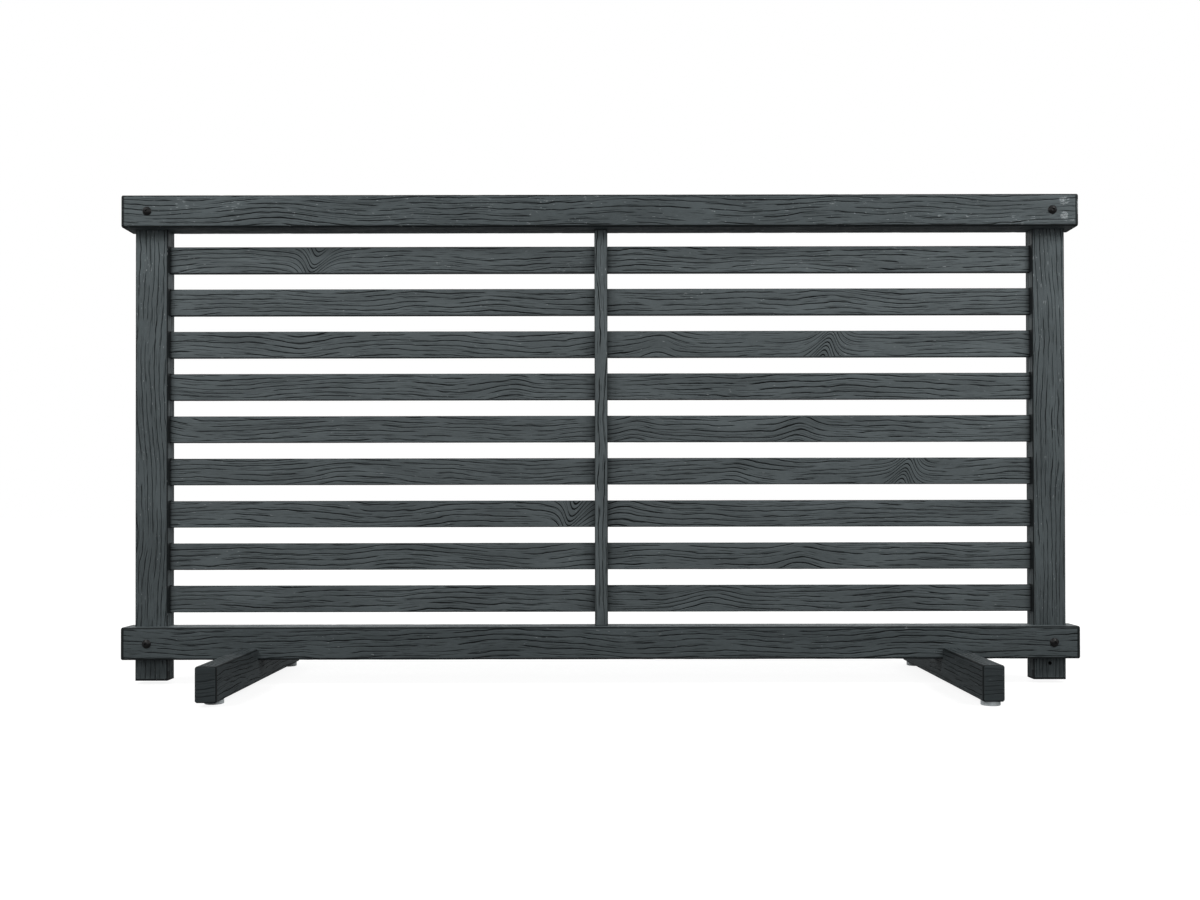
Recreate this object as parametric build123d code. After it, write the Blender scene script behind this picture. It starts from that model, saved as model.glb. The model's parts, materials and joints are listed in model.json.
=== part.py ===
from build123d import *
import os

# A free-standing slatted privacy screen in hollow wood-grain vinyl profiles.
# X runs along the panel, Y from front to back, Z up. The front faces -Y.
# The origin is on the floor, under the middle of the panel. Sizes are in millimetres.

# Rails, the two long hollow profiles
RAIL_HEIGHT = 64.0
RAIL_DEPTH = 62.0
RAIL_WALL = 3.0
RAIL_ROUND = 5.0
RAIL_OVERHANG = 16.0

# Posts, set into pockets in the back of both rails
POST_SPACING = 1778.0
POST_WIDTH = 64.0
POST_DEPTH = 38.0
POST_WALL = 3.0
POST_ROUND = 2.5
POST_TOP_CLEARANCE = 0.5
POCKET_CLEARANCE = 0.5
TAIL_HEIGHT = 7.0
PLUG_THICKNESS = 2.0
PLUG_SKIRT = 12.0

# Spare hole through the front of the right post's tail, below the bottom rail
TAIL_HOLE_DIAMETER = 7.0
TAIL_HOLE_DROP = 11.5

# Slats, held at both ends in slots cut through the inner walls of the posts
SLAT_COUNT = 9
SLAT_HEIGHT = 53.0
SLAT_THICKNESS = 13.0
SLAT_WALL = 2.0
SLAT_ROUND = 2.0
SLAT_INNER_ROUND = 0.6
SLAT_WEB = 1.5
SLAT_WEB_SPACING = 18.0
SLAT_GAP = 31.4
SLAT_TOP_GAP = 31.0
SLAT_BOTTOM_GAP = 26.1
SLAT_ENGAGEMENT = 24.0
SLOT_SIDE_CLEARANCE = 0.5
SLOT_HEADROOM = 1.0

# Centre stile, a batten before and a batten behind the slats
STILE_WIDTH = 26.0
STILE_OFFSET = 2.0
STILE_ROUND = 2.0
STILE_END_CLEARANCE = 0.3
STILE_SCREW_DIAMETER = 4.0
STILE_SCREW_HEAD = 8.0
STILE_SCREW_HEAD_DEPTH = 2.4
STILE_SCREW_COVER = 4.5
STILE_SCREW_RECESS = 1.4
STILE_SCREW_RECESS_SPAN = 4.2
STILE_SCREW_RECESS_WIDTH = 0.9
SCREW_CLEARANCE = 0.2

# Feet, set in from the posts and notched across their tops for the bottom rail
FOOT_INSET = 200.0
FOOT_LENGTH = 556.0
FOOT_WIDTH = 38.0
FOOT_HEIGHT = 64.0
FOOT_WALL = 3.0
FOOT_ROUND = 4.0
NOTCH_DEPTH = 21.5
NOTCH_CLEARANCE = 0.5
BLOCK_CLEARANCE = 0.3
BLOCK_ROUND = 1.5

# End caps of rails and feet
CAP_THICKNESS = 3.0
CAP_EDGE = 1.5
CAP_SKIRT = 9.0
CAP_SKIRT_WALL = 2.0
CAP_FIT = 0.3

# Rubber pads under the feet, by the distance from the foot's end to the pad's middle
PAD_DIAMETER = 34.0
PAD_HEIGHT = 8.0
PAD_EDGE = 1.0
LEFT_FRONT_PAD_SETBACK = 48.0
RIGHT_FRONT_PAD_SETBACK = 20.0
LEFT_REAR_PAD_SETBACK = 19.0
RIGHT_REAR_PAD_SETBACK = 26.0
PAD_SCREW_DIAMETER = 4.0
PAD_SCREW_HEAD = 9.0
PAD_SCREW_HEAD_HEIGHT = 2.6
PAD_SCREW_HEAD_ROOM = 1.5
PAD_SCREW_RECESS = 1.9
PAD_SCREW_REACH = 12.0
PAD_SCREW_SLOT_WIDTH = 1.0
PAD_SCREW_SLOT_DEPTH = 1.2

# Bolts through the rails into the posts
BOLT_DIAMETER = 10.0
BOLT_HEAD_DIAMETER = 17.5
BOLT_HEAD_HEIGHT = 5.5
BOLT_HEAD_RIM = 0.8
BOLT_SOCKET = 6.0
BOLT_SOCKET_DEPTH = 3.2
BOLT_END = 3.0
BOLT_CLEARANCE = 0.4
THREAD_CLEARANCE = 0.2
BOLT_PLATE = 30.0
BOLT_PLATE_THICKNESS = 10.0
SPACER_WIDTH = 48.0

# Aluminium channels inside the rails, in front of the posts
STIFFENER_POST_CLEARANCE = 3.0
STIFFENER_WALL = 2.0
STIFFENER_END_GAP = 1.0
STIFFENER_CORNER_CLEARANCE = 0.5

# Bolts up through each foot into the bottom rail
FOOT_BOLT_DIAMETER = 6.0
FOOT_BOLT_HEAD = 10.0
FOOT_BOLT_HEAD_HEIGHT = 4.0
FOOT_BOLT_END = 4.0
FOOT_PLATE_CLEARANCE = 1.0
FOOT_PLATE_THICKNESS = 5.0

# Cuts run this far past the faces that they open
CUT_MARGIN = 1.0

# No inside corner is sharper than this
SHARPEST_INNER_ROUND = 0.5

# Heights above the floor
pad_screw_seat = PAD_SCREW_RECESS + PAD_SCREW_HEAD_HEIGHT
foot_bottom = PAD_HEIGHT
foot_top = foot_bottom + FOOT_HEIGHT
bottom_rail_base = foot_top - NOTCH_DEPTH
bottom_rail_middle = bottom_rail_base + RAIL_HEIGHT / 2
bottom_rail_top = bottom_rail_base + RAIL_HEIGHT
slat_pitch = SLAT_HEIGHT + SLAT_GAP
lowest_slat = bottom_rail_top + SLAT_BOTTOM_GAP + SLAT_HEIGHT / 2
highest_slat = lowest_slat + (SLAT_COUNT - 1) * slat_pitch
top_rail_base = highest_slat + SLAT_HEIGHT / 2 + SLAT_TOP_GAP
top_rail_middle = top_rail_base + RAIL_HEIGHT / 2
top_rail_top = top_rail_base + RAIL_HEIGHT
slat_levels = [highest_slat - number * slat_pitch for number in range(SLAT_COUNT)]

# Places from front to back
rail_front = -RAIL_DEPTH / 2
rail_back = RAIL_DEPTH / 2
post_back = rail_back
post_front = post_back - POST_DEPTH
post_middle = (post_front + post_back) / 2
slat_front = post_middle - SLAT_THICKNESS / 2
slat_back = post_middle + SLAT_THICKNESS / 2
channel_front = rail_front + RAIL_WALL
channel_web_back = channel_front + STIFFENER_WALL
channel_back = post_front - STIFFENER_POST_CLEARANCE
foot_bolt_offset = -(channel_web_back + channel_back) / 2
foot_plate_size = channel_back - channel_web_back - 2 * FOOT_PLATE_CLEARANCE

stile_screw_tip = post_front + STILE_SCREW_COVER

# Places along the panel
rail_length = POST_SPACING + POST_WIDTH + 2 * RAIL_OVERHANG
post_inner_face = POST_SPACING / 2 - POST_WIDTH / 2
slat_length = 2 * (post_inner_face + SLAT_ENGAGEMENT)
left_post = -POST_SPACING / 2
right_post = POST_SPACING / 2
left_foot = left_post + FOOT_INSET
right_foot = right_post - FOOT_INSET

# Lengths along the posts and the stile
post_tail = TAIL_HEIGHT + PLUG_THICKNESS
post_top = top_rail_top - RAIL_WALL - POST_TOP_CLEARANCE
stile_base = bottom_rail_top + STILE_END_CLEARANCE
stile_top = top_rail_base - STILE_END_CLEARANCE


def inner_round(outer_round, wall):
    """Radius inside a corner that keeps the wall even, within the sharpest one allowed."""
    return max(outer_round - wall, SHARPEST_INNER_ROUND)


def tube_profile(width, height, wall, corner):
    """Rounded rectangle with a rounded hole that leaves an even wall."""
    outside = RectangleRounded(width, height, corner)
    inside = RectangleRounded(width - 2 * wall, height - 2 * wall, inner_round(corner, wall))
    return outside - inside


def bar_along(plane, profile, length):
    """Profile extruded equally to both sides of a plane."""
    return extrude(plane * profile, amount=length / 2, both=True)


def box_between(low, high):
    """Box from its lowest corner to its highest corner."""
    size = [high[axis] - low[axis] for axis in range(3)]
    middle = [(high[axis] + low[axis]) / 2 for axis in range(3)]
    return Pos(*middle) * Box(*size)


def pin_along_y(radius, front, back):
    """Plain cylinder along Y between two depths, centred on X = Z = 0."""
    return Pos(0, (front + back) / 2, 0) * Rot(90, 0, 0) * Cylinder(radius, back - front)


def pin_along_z(radius, low, high):
    """Plain cylinder along Z between two heights, centred on X = Y = 0."""
    return Pos(0, 0, (low + high) / 2) * Cylinder(radius, high - low)


# Rails and their caps


def post_pocket(post_x, base, top):
    """Space cut from a rail so that a post can sit in its back."""
    half_width = POST_WIDTH / 2 + POCKET_CLEARANCE
    low = (post_x - half_width, post_front - POCKET_CLEARANCE, base)
    high = (post_x + half_width, rail_back + CUT_MARGIN, top)
    return box_between(low, high)


def rail(middle, pocket_base, pocket_top):
    """Hollow rail with two pockets for the posts and two bolt holes in its front wall."""
    profile = tube_profile(RAIL_DEPTH, RAIL_HEIGHT, RAIL_WALL, RAIL_ROUND)
    body = Pos(0, 0, middle) * bar_along(Plane.YZ, profile, rail_length)
    hole_radius = BOLT_DIAMETER / 2 + BOLT_CLEARANCE
    for post_x in (left_post, right_post):
        body -= post_pocket(post_x, pocket_base, pocket_top)
        hole = pin_along_y(hole_radius, rail_front - CUT_MARGIN, post_front)
        body -= Pos(post_x, 0, middle) * hole
    return body


def top_rail():
    """Upper rail, open below and behind at the posts but closed above them."""
    return rail(top_rail_middle, top_rail_base - CUT_MARGIN, top_rail_top - RAIL_WALL)


def bottom_rail():
    """Lower rail, open right through at the posts and drilled over the feet."""
    base = bottom_rail_base - CUT_MARGIN
    body = rail(bottom_rail_middle, base, bottom_rail_top + CUT_MARGIN)
    drill = pin_along_z(FOOT_BOLT_DIAMETER / 2 + BOLT_CLEARANCE, base, bottom_rail_middle)
    for place in foot_bolt_places():
        body -= Pos(*place, 0) * drill
    return body


def end_cap(width, height, wall, corner):
    """Cap that faces +Z: a rounded plate and a skirt that enters the profile."""
    plate = extrude(RectangleRounded(width, height, corner), amount=CAP_THICKNESS)
    plate = fillet(plate.edges().group_by(Axis.Z)[-1], min(CAP_EDGE, CAP_THICKNESS / 2))
    reach = 2 * (wall + CAP_FIT)
    skirt_corner = inner_round(corner, wall + CAP_FIT)
    skirt = tube_profile(width - reach, height - reach, CAP_SKIRT_WALL, skirt_corner)
    return plate + extrude(skirt, amount=-CAP_SKIRT)


def rail_cap(side, middle):
    """Rail end cap on the left (side -1) or right (side 1) end."""
    cap = end_cap(RAIL_DEPTH, RAIL_HEIGHT, RAIL_WALL, RAIL_ROUND)
    facing = Plane(origin=(side * rail_length / 2, 0, middle), x_dir=(0, 1, 0), z_dir=(side, 0, 0))
    return facing * cap


def stiffener(middle):
    """Aluminium channel inside a rail's front wall, open to the back."""
    corner = inner_round(RAIL_ROUND, RAIL_WALL) + STIFFENER_CORNER_CLEARANCE
    height = RAIL_HEIGHT - 2 * RAIL_WALL
    depth = channel_back - channel_front
    profile = tube_profile(2 * depth, height, STIFFENER_WALL, corner)
    profile -= Pos(depth, 0) * Rectangle(2 * depth, height)
    length = rail_length - 2 * (CAP_SKIRT + STIFFENER_END_GAP)
    channel = Pos(0, channel_back, middle) * bar_along(Plane.YZ, profile, length)
    hole = pin_along_y(BOLT_DIAMETER / 2 + BOLT_CLEARANCE, rail_front, post_front)
    for post_x in (left_post, right_post):
        channel -= Pos(post_x, 0, middle) * hole
    return channel


def bottom_stiffener():
    """Lower rail's channel, drilled in its lower flange for the front foot bolts."""
    channel = stiffener(bottom_rail_middle)
    radius = FOOT_BOLT_DIAMETER / 2 + BOLT_CLEARANCE
    for place in foot_bolt_places():
        channel -= Pos(*place, 0) * pin_along_z(radius, bottom_rail_base, bottom_rail_middle)
    return channel


# Bolts that hold the rails to the posts


def spacer(post_x, middle):
    """Block that fills the rail between its channel and the post, so the bolt can't crush it."""
    depth = post_front - channel_web_back
    height = RAIL_HEIGHT - 2 * (RAIL_WALL + STIFFENER_WALL)
    profile = RectangleRounded(depth, height, BLOCK_ROUND)
    block = bar_along(Plane.YZ, profile, SPACER_WIDTH)
    hole = pin_along_y(BOLT_DIAMETER / 2 + BOLT_CLEARANCE, -depth, depth)
    return Pos(post_x, channel_web_back + depth / 2, middle) * (block - hole)


def bolt_plate(post_x, middle):
    """Threaded plate behind the post's front wall."""
    front = post_front + POST_WALL
    plate = Box(BOLT_PLATE, BOLT_PLATE_THICKNESS, BOLT_PLATE)
    radius = BOLT_DIAMETER / 2 + THREAD_CLEARANCE
    bore = pin_along_y(radius, -BOLT_PLATE_THICKNESS, BOLT_PLATE_THICKNESS)
    return Pos(post_x, front + BOLT_PLATE_THICKNESS / 2, middle) * (plate - bore)


def button_bolt():
    """Domed socket bolt along +Y, its seat at Y = 0."""
    radius = BOLT_HEAD_DIAMETER / 2
    crown = BOLT_HEAD_HEIGHT - BOLT_HEAD_RIM
    dome_radius = (radius**2 + crown**2) / (2 * crown)
    dome = Pos(0, dome_radius - BOLT_HEAD_HEIGHT, 0) * Sphere(dome_radius)
    head = pin_along_y(radius, -BOLT_HEAD_HEIGHT, 0) & dome
    socket = RegularPolygon(BOLT_SOCKET / 2, 6, major_radius=False)
    head -= Pos(0, -BOLT_HEAD_HEIGHT, 0) * bar_along(Plane.XZ, socket, 2 * BOLT_SOCKET_DEPTH)
    shank_end = post_front + POST_WALL + BOLT_PLATE_THICKNESS + BOLT_END - rail_front
    return head + pin_along_y(BOLT_DIAMETER / 2, 0, shank_end)


def post_joints():
    """Middle of each joint between a post and a rail, as (x, z)."""
    return [(x, z) for z in (top_rail_middle, bottom_rail_middle) for x in (left_post, right_post)]


# Posts


def slat_slot(level):
    """Slot for one slat's end, a slat's section with room at its sides and top."""
    reach = 2 * (POST_WALL + CUT_MARGIN)
    width = SLAT_THICKNESS + 2 * SLOT_SIDE_CLEARANCE
    height = SLAT_HEIGHT + SLOT_HEADROOM
    profile = RectangleRounded(width, height, SLAT_ROUND)
    return Pos(0, post_middle, level + SLOT_HEADROOM / 2) * bar_along(Plane.YZ, profile, reach)


def post(side):
    """Hollow post with a slot for each slat and a bolt hole at each rail."""
    length = post_top - post_tail
    profile = tube_profile(POST_WIDTH, POST_DEPTH, POST_WALL, POST_ROUND)
    post_x = side * POST_SPACING / 2
    body = Pos(post_x, post_middle, post_tail + length / 2) * bar_along(Plane.XY, profile, length)
    for level in slat_levels:
        body -= Pos(side * post_inner_face, 0, 0) * slat_slot(level)
    hole = pin_along_y(BOLT_DIAMETER / 2 + BOLT_CLEARANCE, post_front - CUT_MARGIN, post_middle)
    for middle in (top_rail_middle, bottom_rail_middle):
        body -= Pos(post_x, 0, middle) * hole
    return body


def right_post_body():
    """Right post, with the spare hole through the front of its tail."""
    hole = pin_along_y(TAIL_HOLE_DIAMETER / 2, post_front - CUT_MARGIN, post_middle)
    return post(1) - Pos(right_post, 0, bottom_rail_base - TAIL_HOLE_DROP) * hole


def post_plug(post_x):
    """Plug that closes a post's tail, set in from below."""
    plate = extrude(RectangleRounded(POST_WIDTH, POST_DEPTH, POST_ROUND), amount=-PLUG_THICKNESS)
    reach = 2 * (POST_WALL + CAP_FIT)
    skirt_corner = inner_round(POST_ROUND, POST_WALL + CAP_FIT)
    skirt = tube_profile(POST_WIDTH - reach, POST_DEPTH - reach, CAP_SKIRT_WALL, skirt_corner)
    return Pos(post_x, post_middle, post_tail) * (plate + extrude(skirt, amount=PLUG_SKIRT))


# Slats and stile


def stile_screw_hole(diameter):
    """Hole along Y at the stile, through every depth of the panel."""
    return Pos(STILE_OFFSET, 0, 0) * pin_along_y(diameter / 2, rail_front, rail_back + CUT_MARGIN)


def slat():
    """Hollow slat centred on Z = 0, with two inner webs and a hole for the stile's screw."""
    half_inside = SLAT_HEIGHT / 2 - SLAT_WALL
    middle_cell = SLAT_WEB_SPACING - SLAT_WEB
    outer_cell = half_inside - (SLAT_WEB_SPACING + SLAT_WEB) / 2
    outer_cell_middle = half_inside - outer_cell / 2
    cell_width = SLAT_THICKNESS - 2 * SLAT_WALL
    profile = RectangleRounded(SLAT_THICKNESS, SLAT_HEIGHT, SLAT_ROUND)
    profile -= RectangleRounded(cell_width, middle_cell, SLAT_INNER_ROUND)
    outer_profile = RectangleRounded(cell_width, outer_cell, SLAT_INNER_ROUND)
    for side in (-1, 1):
        profile -= Pos(0, side * outer_cell_middle) * outer_profile
    body = Pos(0, post_middle, 0) * bar_along(Plane.YZ, profile, slat_length)
    return body - stile_screw_hole(STILE_SCREW_DIAMETER + 2 * SCREW_CLEARANCE)


def stile_batten(front, back):
    """Solid batten between the rails, from one depth to another."""
    profile = RectangleRounded(STILE_WIDTH, back - front, STILE_ROUND)
    length = stile_top - stile_base
    place = Pos(STILE_OFFSET, (front + back) / 2, stile_base + length / 2)
    return place * bar_along(Plane.XY, profile, length)


def stile_front():
    """Front batten, with a blind pilot hole for each screw."""
    body = stile_batten(post_front, slat_front)
    radius = STILE_SCREW_DIAMETER / 2 + SCREW_CLEARANCE
    pilot = pin_along_y(radius, stile_screw_tip - SCREW_CLEARANCE, slat_back)
    for level in slat_levels:
        body -= Pos(STILE_OFFSET, 0, level) * pilot
    return body


def stile_screw():
    """Countersunk cross-recess screw along -Y, its head flush with the stile's back."""
    shank_radius = STILE_SCREW_DIAMETER / 2
    head_radius = STILE_SCREW_HEAD / 2
    shank = pin_along_y(shank_radius, stile_screw_tip, post_back - STILE_SCREW_HEAD_DEPTH)
    head = Rot(-90, 0, 0) * Cone(shank_radius, head_radius, STILE_SCREW_HEAD_DEPTH)
    screw = shank + Pos(0, post_back - STILE_SCREW_HEAD_DEPTH / 2, 0) * head
    for turn in (0, 90):
        slot = Box(STILE_SCREW_RECESS_SPAN, 2 * STILE_SCREW_RECESS, STILE_SCREW_RECESS_WIDTH)
        screw -= Pos(0, post_back, 0) * Rot(0, turn, 0) * slot
    return screw


def stile_back():
    """Back batten, drilled and countersunk for each screw."""
    body = stile_batten(slat_back, post_back)
    radius = STILE_SCREW_DIAMETER / 2 + SCREW_CLEARANCE
    head_radius = STILE_SCREW_HEAD / 2 + SCREW_CLEARANCE
    drill = pin_along_y(radius, slat_back - CUT_MARGIN, post_back)
    sink = Rot(-90, 0, 0) * Cone(radius, head_radius, STILE_SCREW_HEAD_DEPTH)
    for level in slat_levels:
        body -= Pos(STILE_OFFSET, 0, level) * drill
        body -= Pos(STILE_OFFSET, post_back - STILE_SCREW_HEAD_DEPTH / 2, level) * sink
    return body


# Feet


def foot_bolt_places():
    """Place of each bolt that holds a foot to the bottom rail, as (x, y)."""
    return [(x, y * foot_bolt_offset) for x in (left_foot, right_foot) for y in (-1, 1)]


def pad_places():
    """Place of each rubber pad, by name, as (x, y)."""
    end = FOOT_LENGTH / 2 + CAP_THICKNESS
    return {
        "left_front": (left_foot, LEFT_FRONT_PAD_SETBACK - end),
        "right_front": (right_foot, RIGHT_FRONT_PAD_SETBACK - end),
        "left_rear": (left_foot, end - LEFT_REAR_PAD_SETBACK),
        "right_rear": (right_foot, end - RIGHT_REAR_PAD_SETBACK),
    }


def foot(foot_x):
    """Hollow foot, notched for the bottom rail and drilled for its bolts and pads."""
    profile = tube_profile(FOOT_WIDTH, FOOT_HEIGHT, FOOT_WALL, FOOT_ROUND)
    middle = foot_bottom + FOOT_HEIGHT / 2
    body = Pos(foot_x, 0, middle) * bar_along(Plane.XZ, profile, FOOT_LENGTH)
    notch_low = (foot_x - FOOT_WIDTH, rail_front - NOTCH_CLEARANCE, bottom_rail_base)
    notch_high = (foot_x + FOOT_WIDTH, rail_back + NOTCH_CLEARANCE, foot_top + CUT_MARGIN)
    body -= box_between(notch_low, notch_high)
    drill = pin_along_z(FOOT_BOLT_DIAMETER / 2 + BOLT_CLEARANCE, 0, middle)
    for x, y in foot_bolt_places():
        if x == foot_x:
            body -= Pos(x, y, 0) * drill
    pilot = pin_along_z(PAD_SCREW_DIAMETER / 2 + THREAD_CLEARANCE, 0, middle)
    for x, y in pad_places().values():
        if x == foot_x:
            body -= Pos(x, y, 0) * pilot
    return body


def foot_block(foot_x):
    """Solid block inside a foot under the rail, which carries it and the bolts' clamp."""
    base = foot_bottom + FOOT_WALL
    height = bottom_rail_base - base
    width = FOOT_WIDTH - 2 * (FOOT_WALL + BLOCK_CLEARANCE)
    block = bar_along(Plane.XZ, RectangleRounded(width, height, BLOCK_ROUND), RAIL_DEPTH)
    for side in (-1, 1):
        bore = pin_along_z(FOOT_BOLT_DIAMETER / 2 + BOLT_CLEARANCE, -height, height)
        block -= Pos(0, side * foot_bolt_offset, 0) * bore
    return Pos(foot_x, 0, base + height / 2) * block


def foot_cap(foot_x, side):
    """Foot end cap on the front (side -1) or rear (side 1) end."""
    cap = end_cap(FOOT_WIDTH, FOOT_HEIGHT, FOOT_WALL, FOOT_ROUND)
    origin = (foot_x, side * FOOT_LENGTH / 2, foot_bottom + FOOT_HEIGHT / 2)
    return Plane(origin=origin, x_dir=(1, 0, 0), z_dir=(0, side, 0)) * cap


def foot_bolt_grip():
    """Height of the bolt's plate above the rail's base, over the channel's lower flange."""
    return RAIL_WALL + STIFFENER_WALL


def foot_bolt():
    """Hexagon bolt up through a foot, its seat at the foot's underside."""
    hexagon = RegularPolygon(FOOT_BOLT_HEAD / 2, 6, major_radius=False)
    head = extrude(hexagon, amount=-FOOT_BOLT_HEAD_HEIGHT)
    plate_top = bottom_rail_base + foot_bolt_grip() + FOOT_PLATE_THICKNESS
    shank = pin_along_z(FOOT_BOLT_DIAMETER / 2, 0, plate_top + FOOT_BOLT_END - foot_bottom)
    return Pos(0, 0, foot_bottom) * (head + shank)


def foot_plate(x, y):
    """Threaded plate in the bottom rail, on the channel's flange or on the rail's wall."""
    on_channel = y < 0
    base = bottom_rail_base + (foot_bolt_grip() if on_channel else RAIL_WALL)
    radius = FOOT_BOLT_DIAMETER / 2 + THREAD_CLEARANCE
    bore = pin_along_z(radius, -FOOT_PLATE_THICKNESS, FOOT_PLATE_THICKNESS)
    plate = Box(foot_plate_size, foot_plate_size, FOOT_PLATE_THICKNESS) - bore
    return Pos(x, y, base + FOOT_PLATE_THICKNESS / 2) * plate


def pad(place):
    """Round rubber pad with a counterbored screw hole."""
    body = pin_along_z(PAD_DIAMETER / 2, 0, PAD_HEIGHT)
    body = chamfer(body.edges().group_by(Axis.Z)[0], PAD_EDGE)
    body -= pin_along_z(PAD_SCREW_DIAMETER / 2 + SCREW_CLEARANCE, 0, PAD_HEIGHT)
    body -= pin_along_z(PAD_SCREW_HEAD / 2 + PAD_SCREW_HEAD_ROOM, -CUT_MARGIN, pad_screw_seat)
    return Pos(*place, 0) * body


def pad_screw(place):
    """Slotted pan-head screw up through a pad into the foot's lower wall."""
    head = pin_along_z(PAD_SCREW_HEAD / 2, PAD_SCREW_RECESS, pad_screw_seat)
    slot = Box(PAD_SCREW_HEAD, PAD_SCREW_SLOT_WIDTH, 2 * PAD_SCREW_SLOT_DEPTH)
    shank = pin_along_z(PAD_SCREW_DIAMETER / 2, pad_screw_seat, pad_screw_seat + PAD_SCREW_REACH)
    return Pos(*place, 0) * (head - Pos(0, 0, PAD_SCREW_RECESS) * slot + shank)


# The whole panel, one entry for each kind of piece


def panel_pieces():
    """Every node of the panel by name, as one solid or a group of like solids."""
    pieces = {
        "top_rail": top_rail(),
        "bottom_rail": bottom_rail(),
        "post_left": post(-1),
        "post_right": right_post_body(),
        "stile_front": stile_front(),
        "stile_back": stile_back(),
        "stiffener_top": stiffener(top_rail_middle),
        "stiffener_bottom": bottom_stiffener(),
    }
    for name, side in (("left", -1), ("right", 1)):
        foot_x = side * right_foot
        pieces[f"rail_cap_top_{name}"] = rail_cap(side, top_rail_middle)
        pieces[f"rail_cap_bottom_{name}"] = rail_cap(side, bottom_rail_middle)
        pieces[f"post_plug_{name}"] = post_plug(side * POST_SPACING / 2)
        pieces[f"foot_{name}"] = foot(foot_x)
        pieces[f"foot_block_{name}"] = foot_block(foot_x)
        pieces[f"foot_cap_{name}_front"] = foot_cap(foot_x, -1)
        pieces[f"foot_cap_{name}_rear"] = foot_cap(foot_x, 1)
    one_slat = slat()
    for number, level in enumerate(slat_levels, start=1):
        pieces[f"slat_{number}"] = Pos(0, 0, level) * one_slat
    for name, place in pad_places().items():
        pieces[f"pad_{name}"] = pad(place)
    pieces["pad_screws"] = [pad_screw(place) for place in pad_places().values()]
    pieces["stile_screws"] = [Pos(STILE_OFFSET, 0, level) * stile_screw() for level in slat_levels]
    pieces["post_bolts"] = [Pos(x, rail_front, z) * button_bolt() for x, z in post_joints()]
    pieces["post_bolt_plates"] = [bolt_plate(x, z) for x, z in post_joints()]
    pieces["post_spacers"] = [spacer(x, z) for x, z in post_joints()]
    pieces["foot_bolts"] = [Pos(x, y, 0) * foot_bolt() for x, y in foot_bolt_places()]
    pieces["foot_bolt_plates"] = [foot_plate(x, y) for x, y in foot_bolt_places()]
    return pieces


os.makedirs("parts", exist_ok=True)
for node, shape in panel_pieces().items():
    solids = Compound(children=shape) if isinstance(shape, list) else shape
    export_step(solids, f"parts/{node}.step")
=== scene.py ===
"""Looks of a free-standing slatted screen in wood-grain vinyl.

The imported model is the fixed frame. Every board is rebuilt around its node with the
wood grain pressed into its skin, caps, bolts, screws and pads get their small shapes,
and the pieces held inside get their finish. Lengths are in metres. X runs along the
panel, Y from front to back and Z up.
"""

from __future__ import annotations

import json
import logging
import math
from dataclasses import dataclass
from enum import Enum

import bmesh
import bpy
from mathutils import Euler, Matrix, Vector


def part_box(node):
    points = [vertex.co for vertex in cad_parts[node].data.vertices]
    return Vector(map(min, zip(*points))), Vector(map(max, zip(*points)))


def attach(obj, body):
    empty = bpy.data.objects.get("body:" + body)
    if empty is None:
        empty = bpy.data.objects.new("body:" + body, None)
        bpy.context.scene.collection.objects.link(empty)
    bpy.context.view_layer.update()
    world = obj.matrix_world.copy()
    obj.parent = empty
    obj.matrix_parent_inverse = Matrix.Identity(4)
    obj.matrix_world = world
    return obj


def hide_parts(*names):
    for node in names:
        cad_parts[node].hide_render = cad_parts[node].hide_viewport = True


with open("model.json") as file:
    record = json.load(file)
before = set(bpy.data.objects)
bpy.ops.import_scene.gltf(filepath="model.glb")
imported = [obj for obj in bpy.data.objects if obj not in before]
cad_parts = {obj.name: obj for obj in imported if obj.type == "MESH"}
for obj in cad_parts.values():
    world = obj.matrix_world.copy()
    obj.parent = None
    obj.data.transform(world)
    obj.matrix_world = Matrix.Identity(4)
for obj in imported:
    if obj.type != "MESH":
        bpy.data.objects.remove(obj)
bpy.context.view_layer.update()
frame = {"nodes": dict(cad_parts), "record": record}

BODY = "root"
MM = 0.001
LOG = logging.getLogger("fence_panel")
Colour = tuple[float, float, float, float]
Point = Vector | tuple[float, float, float]


class Slot(Enum):
    """The record's material slots."""

    RAIL = "rail_vinyl"
    POST = "post_vinyl"
    SLAT = "slat_vinyl"
    STILE = "stile_vinyl"
    FOOT = "foot_vinyl"
    CAP = "cap_vinyl"
    PAD = "pad_rubber"
    BLACK_STEEL = "black_steel"
    ZINC_STEEL = "zinc_steel"
    ALUMINIUM = "aluminium"
    CORE = "core_plastic"


class Facing(Enum):
    """Where a board's face looks, as the turn from its own axes to the panel's.

    A board's own X runs along it, its face looks along -Y and its height is along Z.
    """

    FRONT = (0.0, 0.0, 0.0)
    BACK = (0.0, 0.0, math.pi)
    LEFT = (0.0, 0.0, -math.pi / 2)
    RIGHT = (0.0, 0.0, math.pi / 2)
    UPRIGHT = (0.0, -math.pi / 2, 0.0)


# Node trees


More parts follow.
